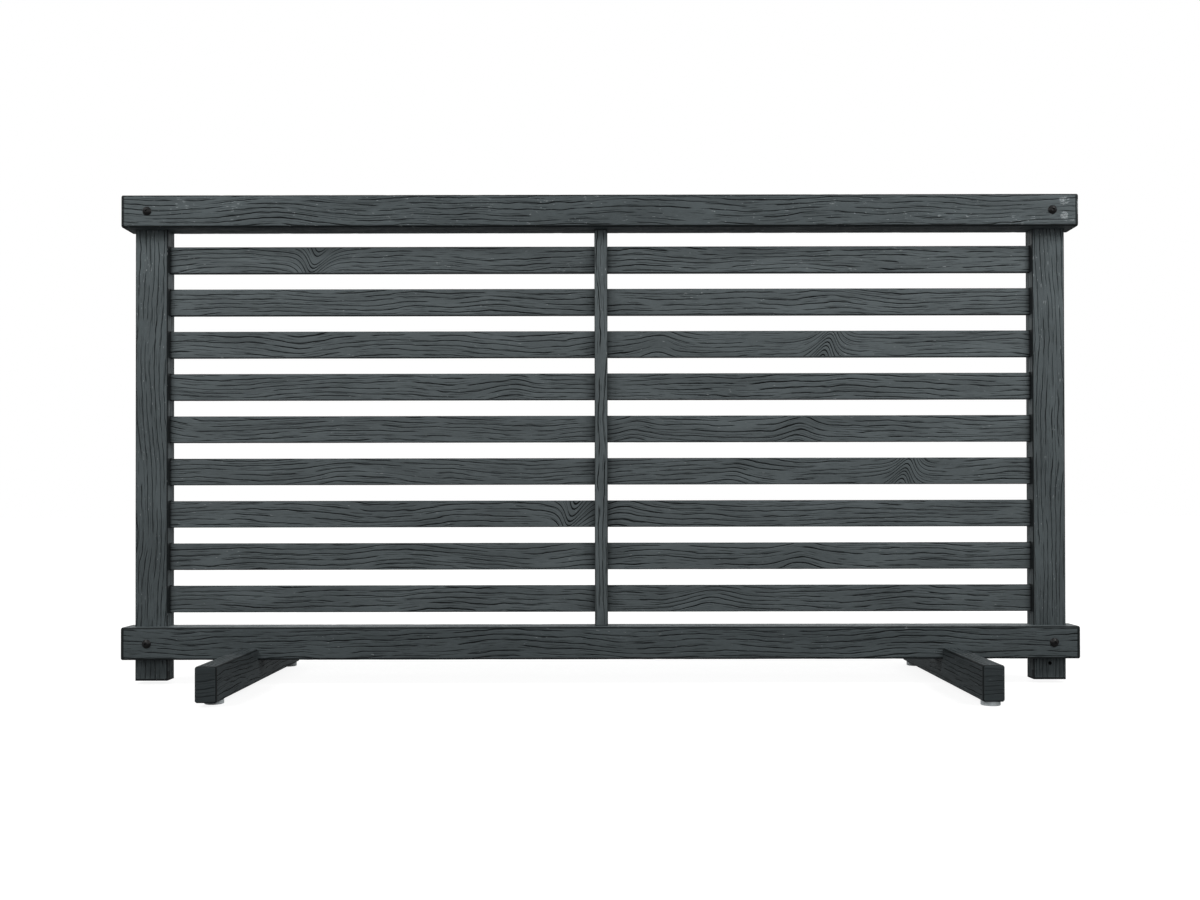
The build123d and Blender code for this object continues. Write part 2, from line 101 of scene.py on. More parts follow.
class Wire:
    """A value on its way through a node tree. Arithmetic on it adds Math nodes."""

    def __init__(self, graph: Graph, socket: bpy.types.NodeSocket) -> None:
        """Wraps an output socket of a graph's tree."""
        self.graph = graph
        self.socket = socket

    def math(self, operation: str, *others: Wire | float) -> Wire:
        """Output of a Math node whose first input is this value."""
        return self.graph.math(operation, self, *others)

    def __add__(self, other: Wire | float) -> Wire:
        """Sum."""
        return self.math("ADD", other)

    def __sub__(self, other: Wire | float) -> Wire:
        """Difference."""
        return self.math("SUBTRACT", other)

    def __rsub__(self, other: float) -> Wire:
        """Difference from a number."""
        return self.graph.math("SUBTRACT", other, self)

    def __mul__(self, other: Wire | float) -> Wire:
        """Product."""
        return self.math("MULTIPLY", other)

    def __truediv__(self, other: Wire | float) -> Wire:
        """Quotient."""
        return self.math("DIVIDE", other)

    def __rtruediv__(self, other: float) -> Wire:
        """Quotient of a number and this value."""
        return self.graph.math("DIVIDE", other, self)

    def size(self) -> Wire:
        """Absolute value."""
        return self.math("ABSOLUTE")

    def held(self, reach: Wire) -> Wire:
        """Value held between -reach and reach."""
        return self.math("MINIMUM", reach).math("MAXIMUM", reach * -1.0)

    def ramp(self, start: Wire | float, end: Wire | float) -> Wire:
        """Smooth rise from 0 at start to 1 at end, which may be the lower of the two."""
        feeds = {"Value": self, "From Min": start, "From Max": end}
        smooth = {"interpolation_type": "SMOOTHSTEP"}
        return self.graph.out("ShaderNodeMapRange", feeds, port="Result", **smooth)

    def parts(self) -> tuple[Wire, Wire, Wire]:
        """X, Y and Z of a vector."""
        made = self.graph.node("ShaderNodeSeparateXYZ", {0: self})
        return tuple(Wire(self.graph, output) for output in made.outputs)


class Graph:
    """Writes nodes into one node tree, for geometry or for shading."""

    def __init__(self, tree: bpy.types.NodeTree) -> None:
        """Starts writing into a tree."""
        self.tree = tree

    @classmethod
    def group(cls, name: str, kind: str, inputs: dict[str, str], outputs: dict[str, str]) -> Graph:
        """New node group with named sockets.

        Args:
            name: Name of the group.
            kind: GeometryNodeTree or ShaderNodeTree.
            inputs: Socket type, such as Float, by input name.
            outputs: The same for the outputs.

        Returns:
            A graph that writes into the group.
        """
        made = cls(bpy.data.node_groups.new(name, kind))
        for way, sockets in (("INPUT", inputs), ("OUTPUT", outputs)):
            for socket, sort in sockets.items():
                sort = f"NodeSocket{sort}"
                made.tree.interface.new_socket(name=socket, in_out=way, socket_type=sort)
        made.entry = made.tree.nodes.new("NodeGroupInput")
        made.exit = made.tree.nodes.new("NodeGroupOutput")
        return made

    def given(self, name: str) -> Wire:
        """Value that comes in through a named input of the group."""
        return Wire(self, self.entry.outputs[name])

    def give(self, name: str, value: Wire) -> None:
        """Sends a value out through a named output of the group."""
        self.tree.links.new(value.socket, self.exit.inputs[name])

    def node(self, kind: str, feeds: dict | None = None, **settings: object) -> bpy.types.Node:
        """Adds a node.

        Args:
            kind: Type of the node.
            feeds: Wire or plain value for each input, by its name or number.
            settings: Values of the node's own properties.

        Returns:
            The node.
        """
        made = self.tree.nodes.new(kind)
        for name, value in settings.items():
            setattr(made, name, value)
        self.feed(made.inputs, feeds or {})
        return made

    def feed(self, sockets: bpy.types.NodeInputs | dict, feeds: dict) -> None:
        """Links a wire to each socket or sets its plain value, by the socket's name or number."""
        for key, value in feeds.items():
            if isinstance(value, Wire):
                self.tree.links.new(value.socket, sockets[key])
            else:
                sockets[key].default_value = value

    def out(self, kind: str, feeds: dict | None = None, port: int | str = 0, **settings: object) -> Wire:
        """Adds a node and returns one of its outputs."""
        return Wire(self, self.node(kind, feeds, **settings).outputs[port])

    def math(self, operation: str, *values: Wire | float) -> Wire:
        """Output of a Math node."""
        return self.out("ShaderNodeMath", dict(enumerate(values)), operation=operation)

    def vector(self, x: Wire | float, y: Wire | float, z: Wire | float) -> Wire:
        """Vector from its three parts."""
        return self.out("ShaderNodeCombineXYZ", {"X": x, "Y": y, "Z": z})

    def noise(self, x: Wire, y: Wire, z: Wire | float, detail: float = 0.0) -> Wire:
        """Soft noise between 0 and 1 at a place whose parts are in units of the noise's size."""
        feeds = {"Vector": self.vector(x, y, z), "Scale": 1.0, "Detail": detail}
        return self.out("ShaderNodeTexNoise", feeds)

    def cut(self, mesh: Wire, *tools: Wire) -> Wire:
        """Mesh without what lies inside the tools."""
        for tool in tools:
            feeds = {0: mesh, 1: tool}
            mesh = self.out("GeometryNodeMeshBoolean", feeds, operation="DIFFERENCE", solver="MANIFOLD")
        return mesh

    def fused(self, *meshes: Wire) -> Wire:
        """One closed mesh of several."""
        made = self.node("GeometryNodeMeshBoolean", operation="UNION", solver="MANIFOLD")
        for mesh in meshes:
            self.tree.links.new(mesh.socket, made.inputs[1])
        return Wire(self, made.outputs[0])

    def mix(self, share: Wire | float, first: Wire | tuple, second: Wire | tuple) -> Wire:
        """Colour between two colours."""
        made = self.node("ShaderNodeMix", data_type="RGBA")
        sockets = {socket.name: socket for socket in made.inputs if socket.enabled}
        self.feed(sockets, {"Factor": share, "A": first, "B": second})
        return Wire(self, next(socket for socket in made.outputs if socket.enabled))

    def smoothed(self, mesh: Wire, sharp: float) -> Wire:
        """Mesh shaded smooth, but sharp at edges that bend by more than an angle."""
        mesh = self.out("GeometryNodeSetShadeSmooth", {"Geometry": mesh}, domain="FACE")
        bent = self.out("GeometryNodeInputMeshEdgeAngle").math("GREATER_THAN", sharp)
        feeds = {"Geometry": mesh, "Selection": bent, "Shade Smooth": False}
        return self.out("GeometryNodeSetShadeSmooth", feeds, domain="EDGE")

    def moved(self, mesh: Wire, **feeds: Wire | tuple) -> Wire:
        """Mesh moved by its Translation, Rotation or both."""
        return self.out("GeometryNodeTransform", {"Geometry": mesh, **feeds})

    def at_places(self, mesh: Wire, turn: float) -> Wire:
        """Copy of a mesh at each of the group's places, turned about X."""
        feeds = {"Points": self.given("Places"), "Instance": self.moved(mesh, Rotation=(turn, 0.0, 0.0))}
        return self.out("GeometryNodeInstanceOnPoints", feeds)

    def deliver(self, name: str, mesh: Wire) -> None:
        """Sends a mesh out of the group, its instances made real and its material set."""
        mesh = self.out("GeometryNodeRealizeInstances", {"Geometry": mesh})
        feeds = {"Geometry": mesh, "Material": self.given("Material")}
        self.give(name, self.out("GeometryNodeSetMaterial", feeds))


def baked(carrier: bpy.types.Object, tree: bpy.types.NodeTree, values: dict[str, object]) -> None:
    """Turns an object into the plain mesh that a geometry tree makes of it.

    Args:
        carrier: Object that the tree works on.
        tree: Geometry node tree.
        values: Value of each of the tree's inputs, by its name.
    """
    modifier = carrier.modifiers.new("Build", "NODES")
    modifier.node_group = tree
    for item in tree.interface.items_tree:
        if item.in_out == "INPUT" and item.name in values:
            modifier[item.identifier] = values[item.name]
    evaluated = carrier.evaluated_get(bpy.context.evaluated_depsgraph_get())
    mesh = bpy.data.meshes.new_from_object(evaluated)
    mesh.name = carrier.name
    carrier.modifiers.clear()
    carrier.data = mesh


def new_object(name: str, mesh: bpy.types.Mesh | None = None) -> bpy.types.Object:
    """Object at the origin in the scene, with an empty mesh if none is given."""
    made = bpy.data.objects.new(name, mesh or bpy.data.meshes.new(name))
    bpy.context.scene.collection.objects.link(made)
    return made


class Solids:
    """Closed boxes, rods and tubes gathered in one mesh."""

    ROD_SIDES = 32

    def __init__(self) -> None:
        """Starts an empty mesh."""
        self.mesh = bmesh.new()

    def box(self, low: Point, high: Point) -> None:
        """Adds a box from its lowest corner to its highest corner."""
        low, high = Vector(low), Vector(high)
        spread = Matrix.Diagonal((*(high - low), 1.0))
        bmesh.ops.create_cube(self.mesh, size=1.0, matrix=Matrix.Translation((low + high) / 2) @ spread)

    def rod(self, start: Point, end: Point, radius: float, end_radius: float | None = None) -> None:
        """Adds a rod between two points, or a cone if its end has a radius of its own."""
        start, end = Vector(start), Vector(end)
        turn = (end - start).to_track_quat("Z", "Y").to_matrix().to_4x4()
        last = radius if end_radius is None else end_radius
        bmesh.ops.create_cone(
            self.mesh, cap_ends=True, segments=self.ROD_SIDES, radius1=radius, radius2=last,
            depth=(end - start).length, matrix=Matrix.Translation((start + end) / 2) @ turn,
        )

    def ring(self, low: Point, high: Point, along: int, wall: float) -> None:
        """Adds a square tube that is open along one axis.

        Args:
            low: Lowest corner of the tube.
            high: Highest corner of the tube.
            along: Number of the axis along which it is open.
            wall: Thickness of its walls.
        """
        outer = [Vector(low), Vector(high)]
        inner = [Vector(low), Vector(high)]
        across = [axis for axis in range(3) if axis != along]
        for axis in across:
            inner[0][axis] += wall
            inner[1][axis] -= wall
        loops = []
        for corners, end in ((outer, 0), (inner, 0), (inner, 1), (outer, 1)):
            loop = []
            for u, v in ((0, 0), (1, 0), (1, 1), (0, 1)):
                point = Vector(outer[end])
                point[across[0]] = corners[u][across[0]]
                point[across[1]] = corners[v][across[1]]
                loop.append(self.mesh.verts.new(point))
            loops.append(loop)
        for number, loop in enumerate(loops):
            after = loops[(number + 1) % len(loops)]
            for side in range(4):
                nxt = (side + 1) % 4
                self.mesh.faces.new((loop[side], loop[nxt], after[nxt], after[side]))
        bmesh.ops.recalc_face_normals(self.mesh, faces=self.mesh.faces)

    def finish(self, name: str) -> bpy.types.Object:
        """Makes the object that holds the mesh."""
        made = new_object(name)
        self.mesh.to_mesh(made.data)
        self.mesh.free()
        return made


# Wood grain


@dataclass(frozen=True)
class GrainLines:
    """One family of broken lines that run along a board.

    Args:
        spacing: Distance from line to line.
        width: Half the width of a pressed line.
        wander: How far a line strays, in spacings.
        wander_run: Length over which it strays.
        run: Length over which a line comes and goes.
        cover: Noise level below which a line is missing, and level at which it is whole.
    """

    spacing: float
    width: float
    wander: float
    wander_run: float
    run: float
    cover: tuple[float, float]

    STRAY_SPREAD = 3.0
    RIPPLE_RUN, RIPPLE, RIPPLE_SEED = 0.16, 0.32, 3.0
    LINE_STEP, LINE_SEED = 3.7, 9.0
    THINNEST = 0.4
    FLAT_BOTTOM = 0.4

    def pressed(self, g: Graph, along: Wire, flow: Wire, seed: Wire, stir: Wire, widen: float) -> Wire:
        """How deep the lines are pressed at a place, from 0 to 1.

        Args:
            g: Graph of a geometry or a shader tree.
            along: Place along the board.
            flow: Place across the board, bent with the grain.
            seed: Number of the board's own pattern.
            stir: How much a knot disturbs the grain here, from 0 to 1.
            widen: Width of the valley as a share of the line's own width.

        Returns:
            The depth.
        """
        stray = g.noise(along / self.wander_run, flow / (self.spacing * self.STRAY_SPREAD), seed)
        turn = along / (self.wander_run * self.RIPPLE_RUN)
        ripple = g.noise(turn, flow / self.spacing, seed + self.RIPPLE_SEED)
        phase = flow / self.spacing + (stray - 0.5) * self.wander + (ripple - 0.5) * self.RIPPLE
        number = phase.math("FLOOR")
        off = (phase - number - 0.5).size() * self.spacing
        line = number * self.LINE_STEP + off.math("SIGN")
        presence = g.noise(along / self.run, line, seed + self.LINE_SEED, detail=1.0)
        press = (presence + stir * KNOT_FILL).ramp(*self.cover)
        width = (press * (1.0 - self.THINNEST) + self.THINNEST) * (self.width * widen)
        width = width * (stir * KNOT_WIDEN + 1.0)
        return off.ramp(width, width * self.FLAT_BOTTOM) * press


MAIN_LINES = GrainLines(9.4 * MM, 0.90 * MM, 0.9, 160 * MM, 85 * MM, (0.38, 0.48))
FINE_LINES = GrainLines(4.0 * MM, 0.52 * MM, 0.8, 100 * MM, 45 * MM, (0.45, 0.60))
FINE_SHARE = 0.65
FINE_SHIFT, FINE_SEED = 0.5, 4.0
VALLEY = 1.6
KNOT_WIDEN = 1.1
KNOT_FILL = 0.10


def grain_depth(g: Graph, place: Wire, skin: Wire, widen: float) -> Wire:
    """Both families of lines together, from 0 to 1.

    Args:
        g: Graph of a geometry or a shader tree.
        place: Place along the board, place across with the grain, and seed.
        skin: Distance to the nearest edge, strength of the grain and stir of the knots.
        widen: Width of the valleys as a share of the lines' own width.

    Returns:
        The depth.
    """
    along, flow, seed = place.parts()
    _, strength, stir = skin.parts()
    main = MAIN_LINES.pressed(g, along, flow, seed, stir, widen)
    fine = FINE_LINES.pressed(g, along, flow + FINE_SHIFT, seed + FINE_SEED, stir, widen)
    return main.math("MAXIMUM", fine * (1.0 - stir) * FINE_SHARE) * strength


@dataclass(frozen=True)
class Knot:
    """A place where the grain swells over a knot.

    Args:
        along: Distance from the board's middle.
        lift: How far the lines rise over it, or dip where negative.
        spread: Half the width of the swelling.
    """

    along: float
    lift: float
    spread: float

    def vector(self) -> tuple[float, float, float]:
        """Value of one of the tree's knot inputs."""
        return (self.along, self.lift, self.spread)


NO_KNOT = Knot(0.0, 0.0, 0.1)
KNOTS_A_BOARD = 4


class EmbossTree:
    """Geometry tree that builds a board with the grain pressed into its skin.

    The board is a finely divided block. Its edges are rounded, its skin is pushed in
    where a line of the grain runs, and the hollow and the openings are cut out of it.
    """

    PLACE = "grain_place"
    SKIN = "grain_skin"
    SHARP = math.radians(42)
    # Run and reach of each bend of the grain, its seed and its size
    BENDS = ((0.30, 0.10, 17.0, 0.034), (0.085, 0.05, 31.0, 0.007))
    KNOT_SKEW = 0.35
    MOAT_DEPTH, MOAT_SPREAD = 0.30, 0.12
    FULL_LIFT = 0.04
    EDGE_FADE = (0.6 * MM, 3.2 * MM)
    TINY = 1e-9
    BACK_EASE = 0.1 * MM
    SKIN_SHARE = 0.99

    def __init__(self) -> None:
        """Writes the tree."""
        inputs = {
            "Size": "Vector", "Cells X": "Int", "Cells Y": "Int", "Cells Z": "Int",
            "Place": "Vector", "Turn": "Vector", "Material": "Material",
        }
        inputs.update(dict.fromkeys(("Edge round", "End round", "Back round", "Corner round"), "Float"))
        inputs.update(dict.fromkeys(("Groove depth", "Strength", "Seed"), "Float"))
        inputs.update(dict.fromkeys(("Skirt", "Hollow", "Openings"), "Object"))
        inputs.update({f"Knot {n}": "Vector" for n in range(KNOTS_A_BOARD)})
        self.g = Graph.group("Embossed board", "GeometryNodeTree", inputs, {"Board": "Geometry"})
        self._write()

    @property
    def tree(self) -> bpy.types.NodeTree:
        """The node tree."""
        return self.g.tree

    def _write(self) -> None:
        """Writes the whole tree, from the block to the finished board."""
        g = self.g
        counts = {f"Vertices {axis}": g.given(f"Cells {axis}") for axis in "XYZ"}
        board = g.out("GeometryNodeMeshCube", {"Size": g.given("Size"), **counts})
        place, skin = self._grain()
        for name, value in ((self.PLACE, place), (self.SKIN, skin)):
            feeds = {"Geometry": board, "Name": name, "Value": value}
            board = g.out("GeometryNodeStoreNamedAttribute", feeds, data_type="FLOAT_VECTOR")
        depth = grain_depth(g, self._kept(self.PLACE), self._kept(self.SKIN), VALLEY)
        shape = self._rounded(depth * g.given("Groove depth"))
        board = g.out("GeometryNodeSetPosition", {"Geometry": board, "Position": shape})
        board = g.moved(board, Translation=g.given("Place"), Rotation=g.given("Turn"))
        skirt, *tools = [
            g.out("GeometryNodeObjectInfo", {"Object": g.given(name)}, port="Geometry")
            for name in ("Skirt", "Hollow", "Openings")
        ]
        g.deliver("Board", g.smoothed(g.cut(g.fused(board, skirt), *tools), self.SHARP))

    def _kept(self, name: str) -> Wire:
        """Value stored on the board under a name."""
        return self.g.out("GeometryNodeInputNamedAttribute", {"Name": name}, data_type="FLOAT_VECTOR")

    def _grain(self) -> tuple[Wire, Wire]:
        """The place in the grain and the state of the skin at a point of the block."""
        g = self.g
        x, y, z = g.out("GeometryNodeInputPosition").parts()
        length, depth, height = g.given("Size").parts()
        seed = g.given("Seed")
        behind = y + depth / 2.0
        back = y.math("GREATER_THAN", depth / 2.0 - self.BACK_EASE)
        around = z + z.math("SIGN") * behind
        across = around * (1.0 - back) + (height + depth - z) * back
        along = x * (1.0 - back * 2.0)
        flow = across
        for run, reach, own_seed, bend in self.BENDS:
            flow = flow + (g.noise(along / run, across / reach, seed + own_seed) - 0.5) * bend
        stir = None
        for number in range(KNOTS_A_BOARD):
            spot, lift, spread = g.given(f"Knot {number}").parts()
            distance = (along - spot - z * self.KNOT_SKEW) / spread
            bell = 1.0 / (distance * distance + 1.0)
            moat = self.MOAT_DEPTH / (distance * distance * self.MOAT_SPREAD + 1.0)
            flow = flow - (bell - moat) * lift
            strong = (bell * bell) * (lift.size() / self.FULL_LIFT).math("MINIMUM", 1.0)
            stir = strong if stir is None else stir.math("MAXIMUM", strong)
        from_edge = (height / 2.0 - z.size()) + (depth / 2.0 - y.size())
        from_edge = from_edge.math("MINIMUM", length / 2.0 - x.size())
        strength = from_edge.ramp(*self.EDGE_FADE) * g.given("Strength")
        return g.vector(along, flow, seed), g.vector(from_edge, strength, stir)

    def _rounded(self, press: Wire) -> Wire:
        """Position of a point of the block after rounding and pressing."""
        g = self.g
        point = g.out("GeometryNodeInputPosition").parts()
        halves = [side / 2.0 for side in g.given("Size").parts()]
        radius = g.given("Edge round")
        kept = [value.held(half - radius) for value, half in zip(point, halves)]
        behind = halves[1] - radius * g.given("Back round")
        kept[1] = point[1].math("MAXIMUM", radius - halves[1]).math("MINIMUM", behind)
        off = [value - core for value, core in zip(point, kept)]
        off[0] = off[0] * g.given("End round")
        reach = off[0].size().math("MAXIMUM", off[1].size()).math("MAXIMUM", off[2].size())
        length = (off[0] * off[0] + off[1] * off[1] + off[2] * off[2]).math("SQRT") + self.TINY
        on_skin = reach.math("GREATER_THAN", radius * self.SKIN_SHARE)
        scale = (reach - press * on_skin) / length
        round_end = g.given("End round")
        x = kept[0] * round_end + point[0] * (1.0 - round_end) + off[0] * scale
        y = kept[1] + off[1] * scale
        z = kept[2] + off[2] * scale
        corner = g.given("Corner round")
        core_x, core_z = x.held(halves[0] - corner), z.held(halves[2] - corner)
        off_x, off_z = x - core_x, z - core_z
        reach = off_x.size().math("MAXIMUM", off_z.size())
        scale = reach / ((off_x * off_x + off_z * off_z).math("SQRT") + self.TINY)
        return g.vector(core_x + off_x * scale, y, core_z + off_z * scale)


# Finishes


class ShaderTree(Graph):
    """A material's own node tree."""

    def __init__(self, name: str) -> None:
        """Makes an empty material and its shader."""
        self.material = bpy.data.materials.new(name)
        self.material.use_nodes = True
        super().__init__(self.material.node_tree)
        self.tree.nodes.clear()
        self.shader = self.node("ShaderNodeBsdfPrincipled")
        output = self.node("ShaderNodeOutputMaterial")
        self.tree.links.new(self.shader.outputs["BSDF"], output.inputs["Surface"])

    def dress(self, **feeds: Wire | float | tuple) -> bpy.types.Material:
        """Feeds the shader's sockets, with _ for each space in their names."""
        self.feed(self.shader.inputs, {name.replace("_", " "): value for name, value in feeds.items()})
        return self.material

    def place(self) -> Wire:
        """Place on the object, in metres."""
        return self.out("ShaderNodeTexCoord", port="Object")

    def attribute(self, name: str) -> Wire:
        """Vector stored on the mesh under a name."""
        return self.out("ShaderNodeAttribute", port="Vector", attribute_name=name)

    def effect(self, tree: bpy.types.NodeTree, feeds: dict) -> dict[str, Wire]:
        """Places a node group and returns its outputs by name."""
        made = self.node("ShaderNodeGroup", node_tree=tree)
        self.feed(made.inputs, feeds)
        return {output.name: Wire(self, output) for output in made.outputs}

    def bump(self, height: Wire, depth: float) -> Wire:
        """Normal of a surface whose height, from 0 to 1, is raised by a depth in metres."""
        return self.out("ShaderNodeBump", {"Height": height, "Distance": depth, "Strength": 1.0})


def colour(red: float, green: float, blue: float) -> Colour:
    """Linear colour from display values between 0 and 255."""
    def linear(value: float) -> float:
        """One channel."""
        share = value / 255.0
        return share / 12.92 if share <= 0.04045 else ((share + 0.055) / 1.055) ** 2.4

    return (linear(red), linear(green), linear(blue), 1.0)


def scaled(base: Colour, share: float) -> Colour:
    """Colour with each of its channels multiplied by a share."""
    return (*(channel * share for channel in base[:3]), 1.0)


def streaks(
    g: Graph, place: Wire, length: float, width: float, seed: float, detail: float = 0.0, slant: float = 0.0,
) -> Wire:
    """Noise drawn out along the grain.

    Args:
        g: Graph of a shader tree.
        place: Place along the board, place across with the grain, and the board's seed.
        length: Length of a streak.
        width: Width of a streak.
        seed: Number of this noise's own pattern.
        detail: Octaves of finer noise in it.
        slant: Slope of the streaks against the grain.

    Returns:
        The noise, between 0 and 1.
    """
    along, flow, board = place.parts()
    if slant:
        flow = flow + along * slant
    return g.noise(along / length, flow / width, board + seed, detail)


class Effects:
    """Shader groups that several finishes share, each built once."""

    FINE_FIBRES = 0.4
    PATCHINESS = 0.45
    WEAR_STEP = 0.05
    SCUFF_FROM, SCUFF_EASE = 0.84, 0.07
    BREAK_UP = (0.35, 0.6)
    MOTTLE_SIZE = 22.0
    STREAK_LENGTH = 60.0

    def __init__(self) -> None:
        """Builds the groups."""
        self.grain = self._grain()
        self.scuffs = self._scuffs()
        self.speckle = self._speckle()
        self.brushed = self._brushed()

    def _grain(self) -> bpy.types.NodeTree:
        """Group for pressed grain: its lines, the fibres between them and a slow change of tone."""
        inputs = {"Place": "Vector", "Skin": "Vector"}
        outputs = {"Lines": "Float", "Fibres": "Float", "Tone": "Float"}
        g = Graph.group("Pressed grain", "ShaderNodeTree", inputs, outputs)
        place = g.given("Place")
        g.give("Lines", grain_depth(g, place, g.given("Skin"), 1.0))
        coarse = streaks(g, place, length=14 * MM, width=0.9 * MM, seed=2.0, detail=2.0)
        fine = streaks(g, place, length=5 * MM, width=0.35 * MM, seed=6.0, detail=1.0)
        g.give("Fibres", coarse * (1.0 - self.FINE_FIBRES) + fine * self.FINE_FIBRES)
        g.give("Tone", streaks(g, place, length=160 * MM, width=30 * MM, seed=12.0, detail=2.0))
        return g.tree

    def _scuffs(self) -> bpy.types.NodeTree:
        """Group for pale rubs and short scratches, more of them where Wear is high."""
        inputs = {"Place": "Vector", "Wear": "Float"}
        g = Graph.group("Scuffs", "ShaderNodeTree", inputs, {"Scuffs": "Float"})
        place = g.given("Place")
        patch = streaks(g, place, length=50 * MM, width=30 * MM, seed=40.0, detail=1.0)
        dash = streaks(g, place, length=11 * MM, width=1.5 * MM, seed=45.0, slant=0.06)
        rub = streaks(g, place, length=3 * MM, width=0.8 * MM, seed=49.0, detail=1.0)
        worn = (patch - 0.5) * self.PATCHINESS + g.given("Wear") * self.WEAR_STEP
        scuffed = (dash + worn - self.SCUFF_FROM).ramp(0.0, self.SCUFF_EASE)
        g.give("Scuffs", scuffed * rub.ramp(*self.BREAK_UP))
        return g.tree

    def _speckle(self) -> bpy.types.NodeTree:
        """Group for the even fine speckle of moulded, cast or coated surfaces."""
        inputs = {"Place": "Vector", "Grain size": "Float"}
        g = Graph.group("Speckle", "ShaderNodeTree", inputs, {"Speckle": "Float", "Mottle": "Float"})
        x, y, z = (part / g.given("Grain size") for part in g.given("Place").parts())
        g.give("Speckle", g.noise(x, y, z, detail=2.0))
        g.give("Mottle", g.noise(*(part / self.MOTTLE_SIZE for part in (x, y, z)), detail=2.0))
        return g.tree

    def _brushed(self) -> bpy.types.NodeTree:
        """Group for the drawn streaks along an extrusion or a turned head."""
        inputs = {"Place": "Vector", "Width": "Float"}
        g = Graph.group("Drawn streaks", "ShaderNodeTree", inputs, {"Streaks": "Float"})
        x, y, z = g.given("Place").parts()
        width = g.given("Width")
        g.give("Streaks", g.noise(x / (width * self.STREAK_LENGTH), y / width, z / width, detail=2.0))
        return g.tree


@dataclass(frozen=True)
class ContactShade:
    """Painted shade that darkens boards beside a piece that touches them, where its contact shadow falls.

    Args:
        centre: Middle of the touching piece along the panel.
        half: Half its width.
        reach: How far beside it the painted shade goes.
        share: How dark it is, from 0 to 1.
    """

    centre: float
    half: float
    reach: float
    share: float

    @classmethod
    def beside(cls, node: str, reach: float, share: float) -> ContactShade:
        """Painted shade beside a node."""
        low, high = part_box(node)
        return cls((low.x + high.x) / 2, (high.x - low.x) / 2, reach, share)


@dataclass(frozen=True)
class SlotShade:
    """Painted shade on a post's inner side in front of each slat, where that strip lies in deep shadow.

    Args:
        inner: Distance of the posts' inner sides from the panel's middle.
        front: Place of the slats' faces in Y.
        lowest: Middle of the lowest slat in Z.
        pitch: Distance from slat to slat.
        half: Half a slat's height.
        share: How dark it is, from 0 to 1.
    """

    inner: float
    front: float
    lowest: float
    pitch: float
    half: float
    share: float = 0.8

    EASE = 0.5 * MM

    @classmethod
    def of_slats(cls) -> SlotShade:
        """Shade that follows the slats of the frame."""
        (low, high), (above, _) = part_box("slat_9"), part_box("slat_8")
        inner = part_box("post_right")[0].x
        return cls(inner, low.y, (low.z + high.z) / 2, above.z - low.z, (high.z - low.z) / 2)

    def mask(self, x: Wire, y: Wire, z: Wire) -> Wire:
        """1 on the shaded strips and 0 elsewhere."""
        beside = x.size().ramp(self.inner + self.EASE, self.inner + self.EASE / 2)
        ahead = y.ramp(self.front + self.EASE, self.front)
        turns = (z - self.lowest) / self.pitch + 0.5
        off = (turns - turns.math("FLOOR") - 0.5).size() * self.pitch
        return beside * ahead * off.ramp(self.half + self.EASE * 2, self.half) * self.share


@dataclass(frozen=True)
class Rub:
    """A rubbed patch on the face of a board: its middle in X and Z, and half its length and height."""

    x: float
    z: float
    length: float
    height: float


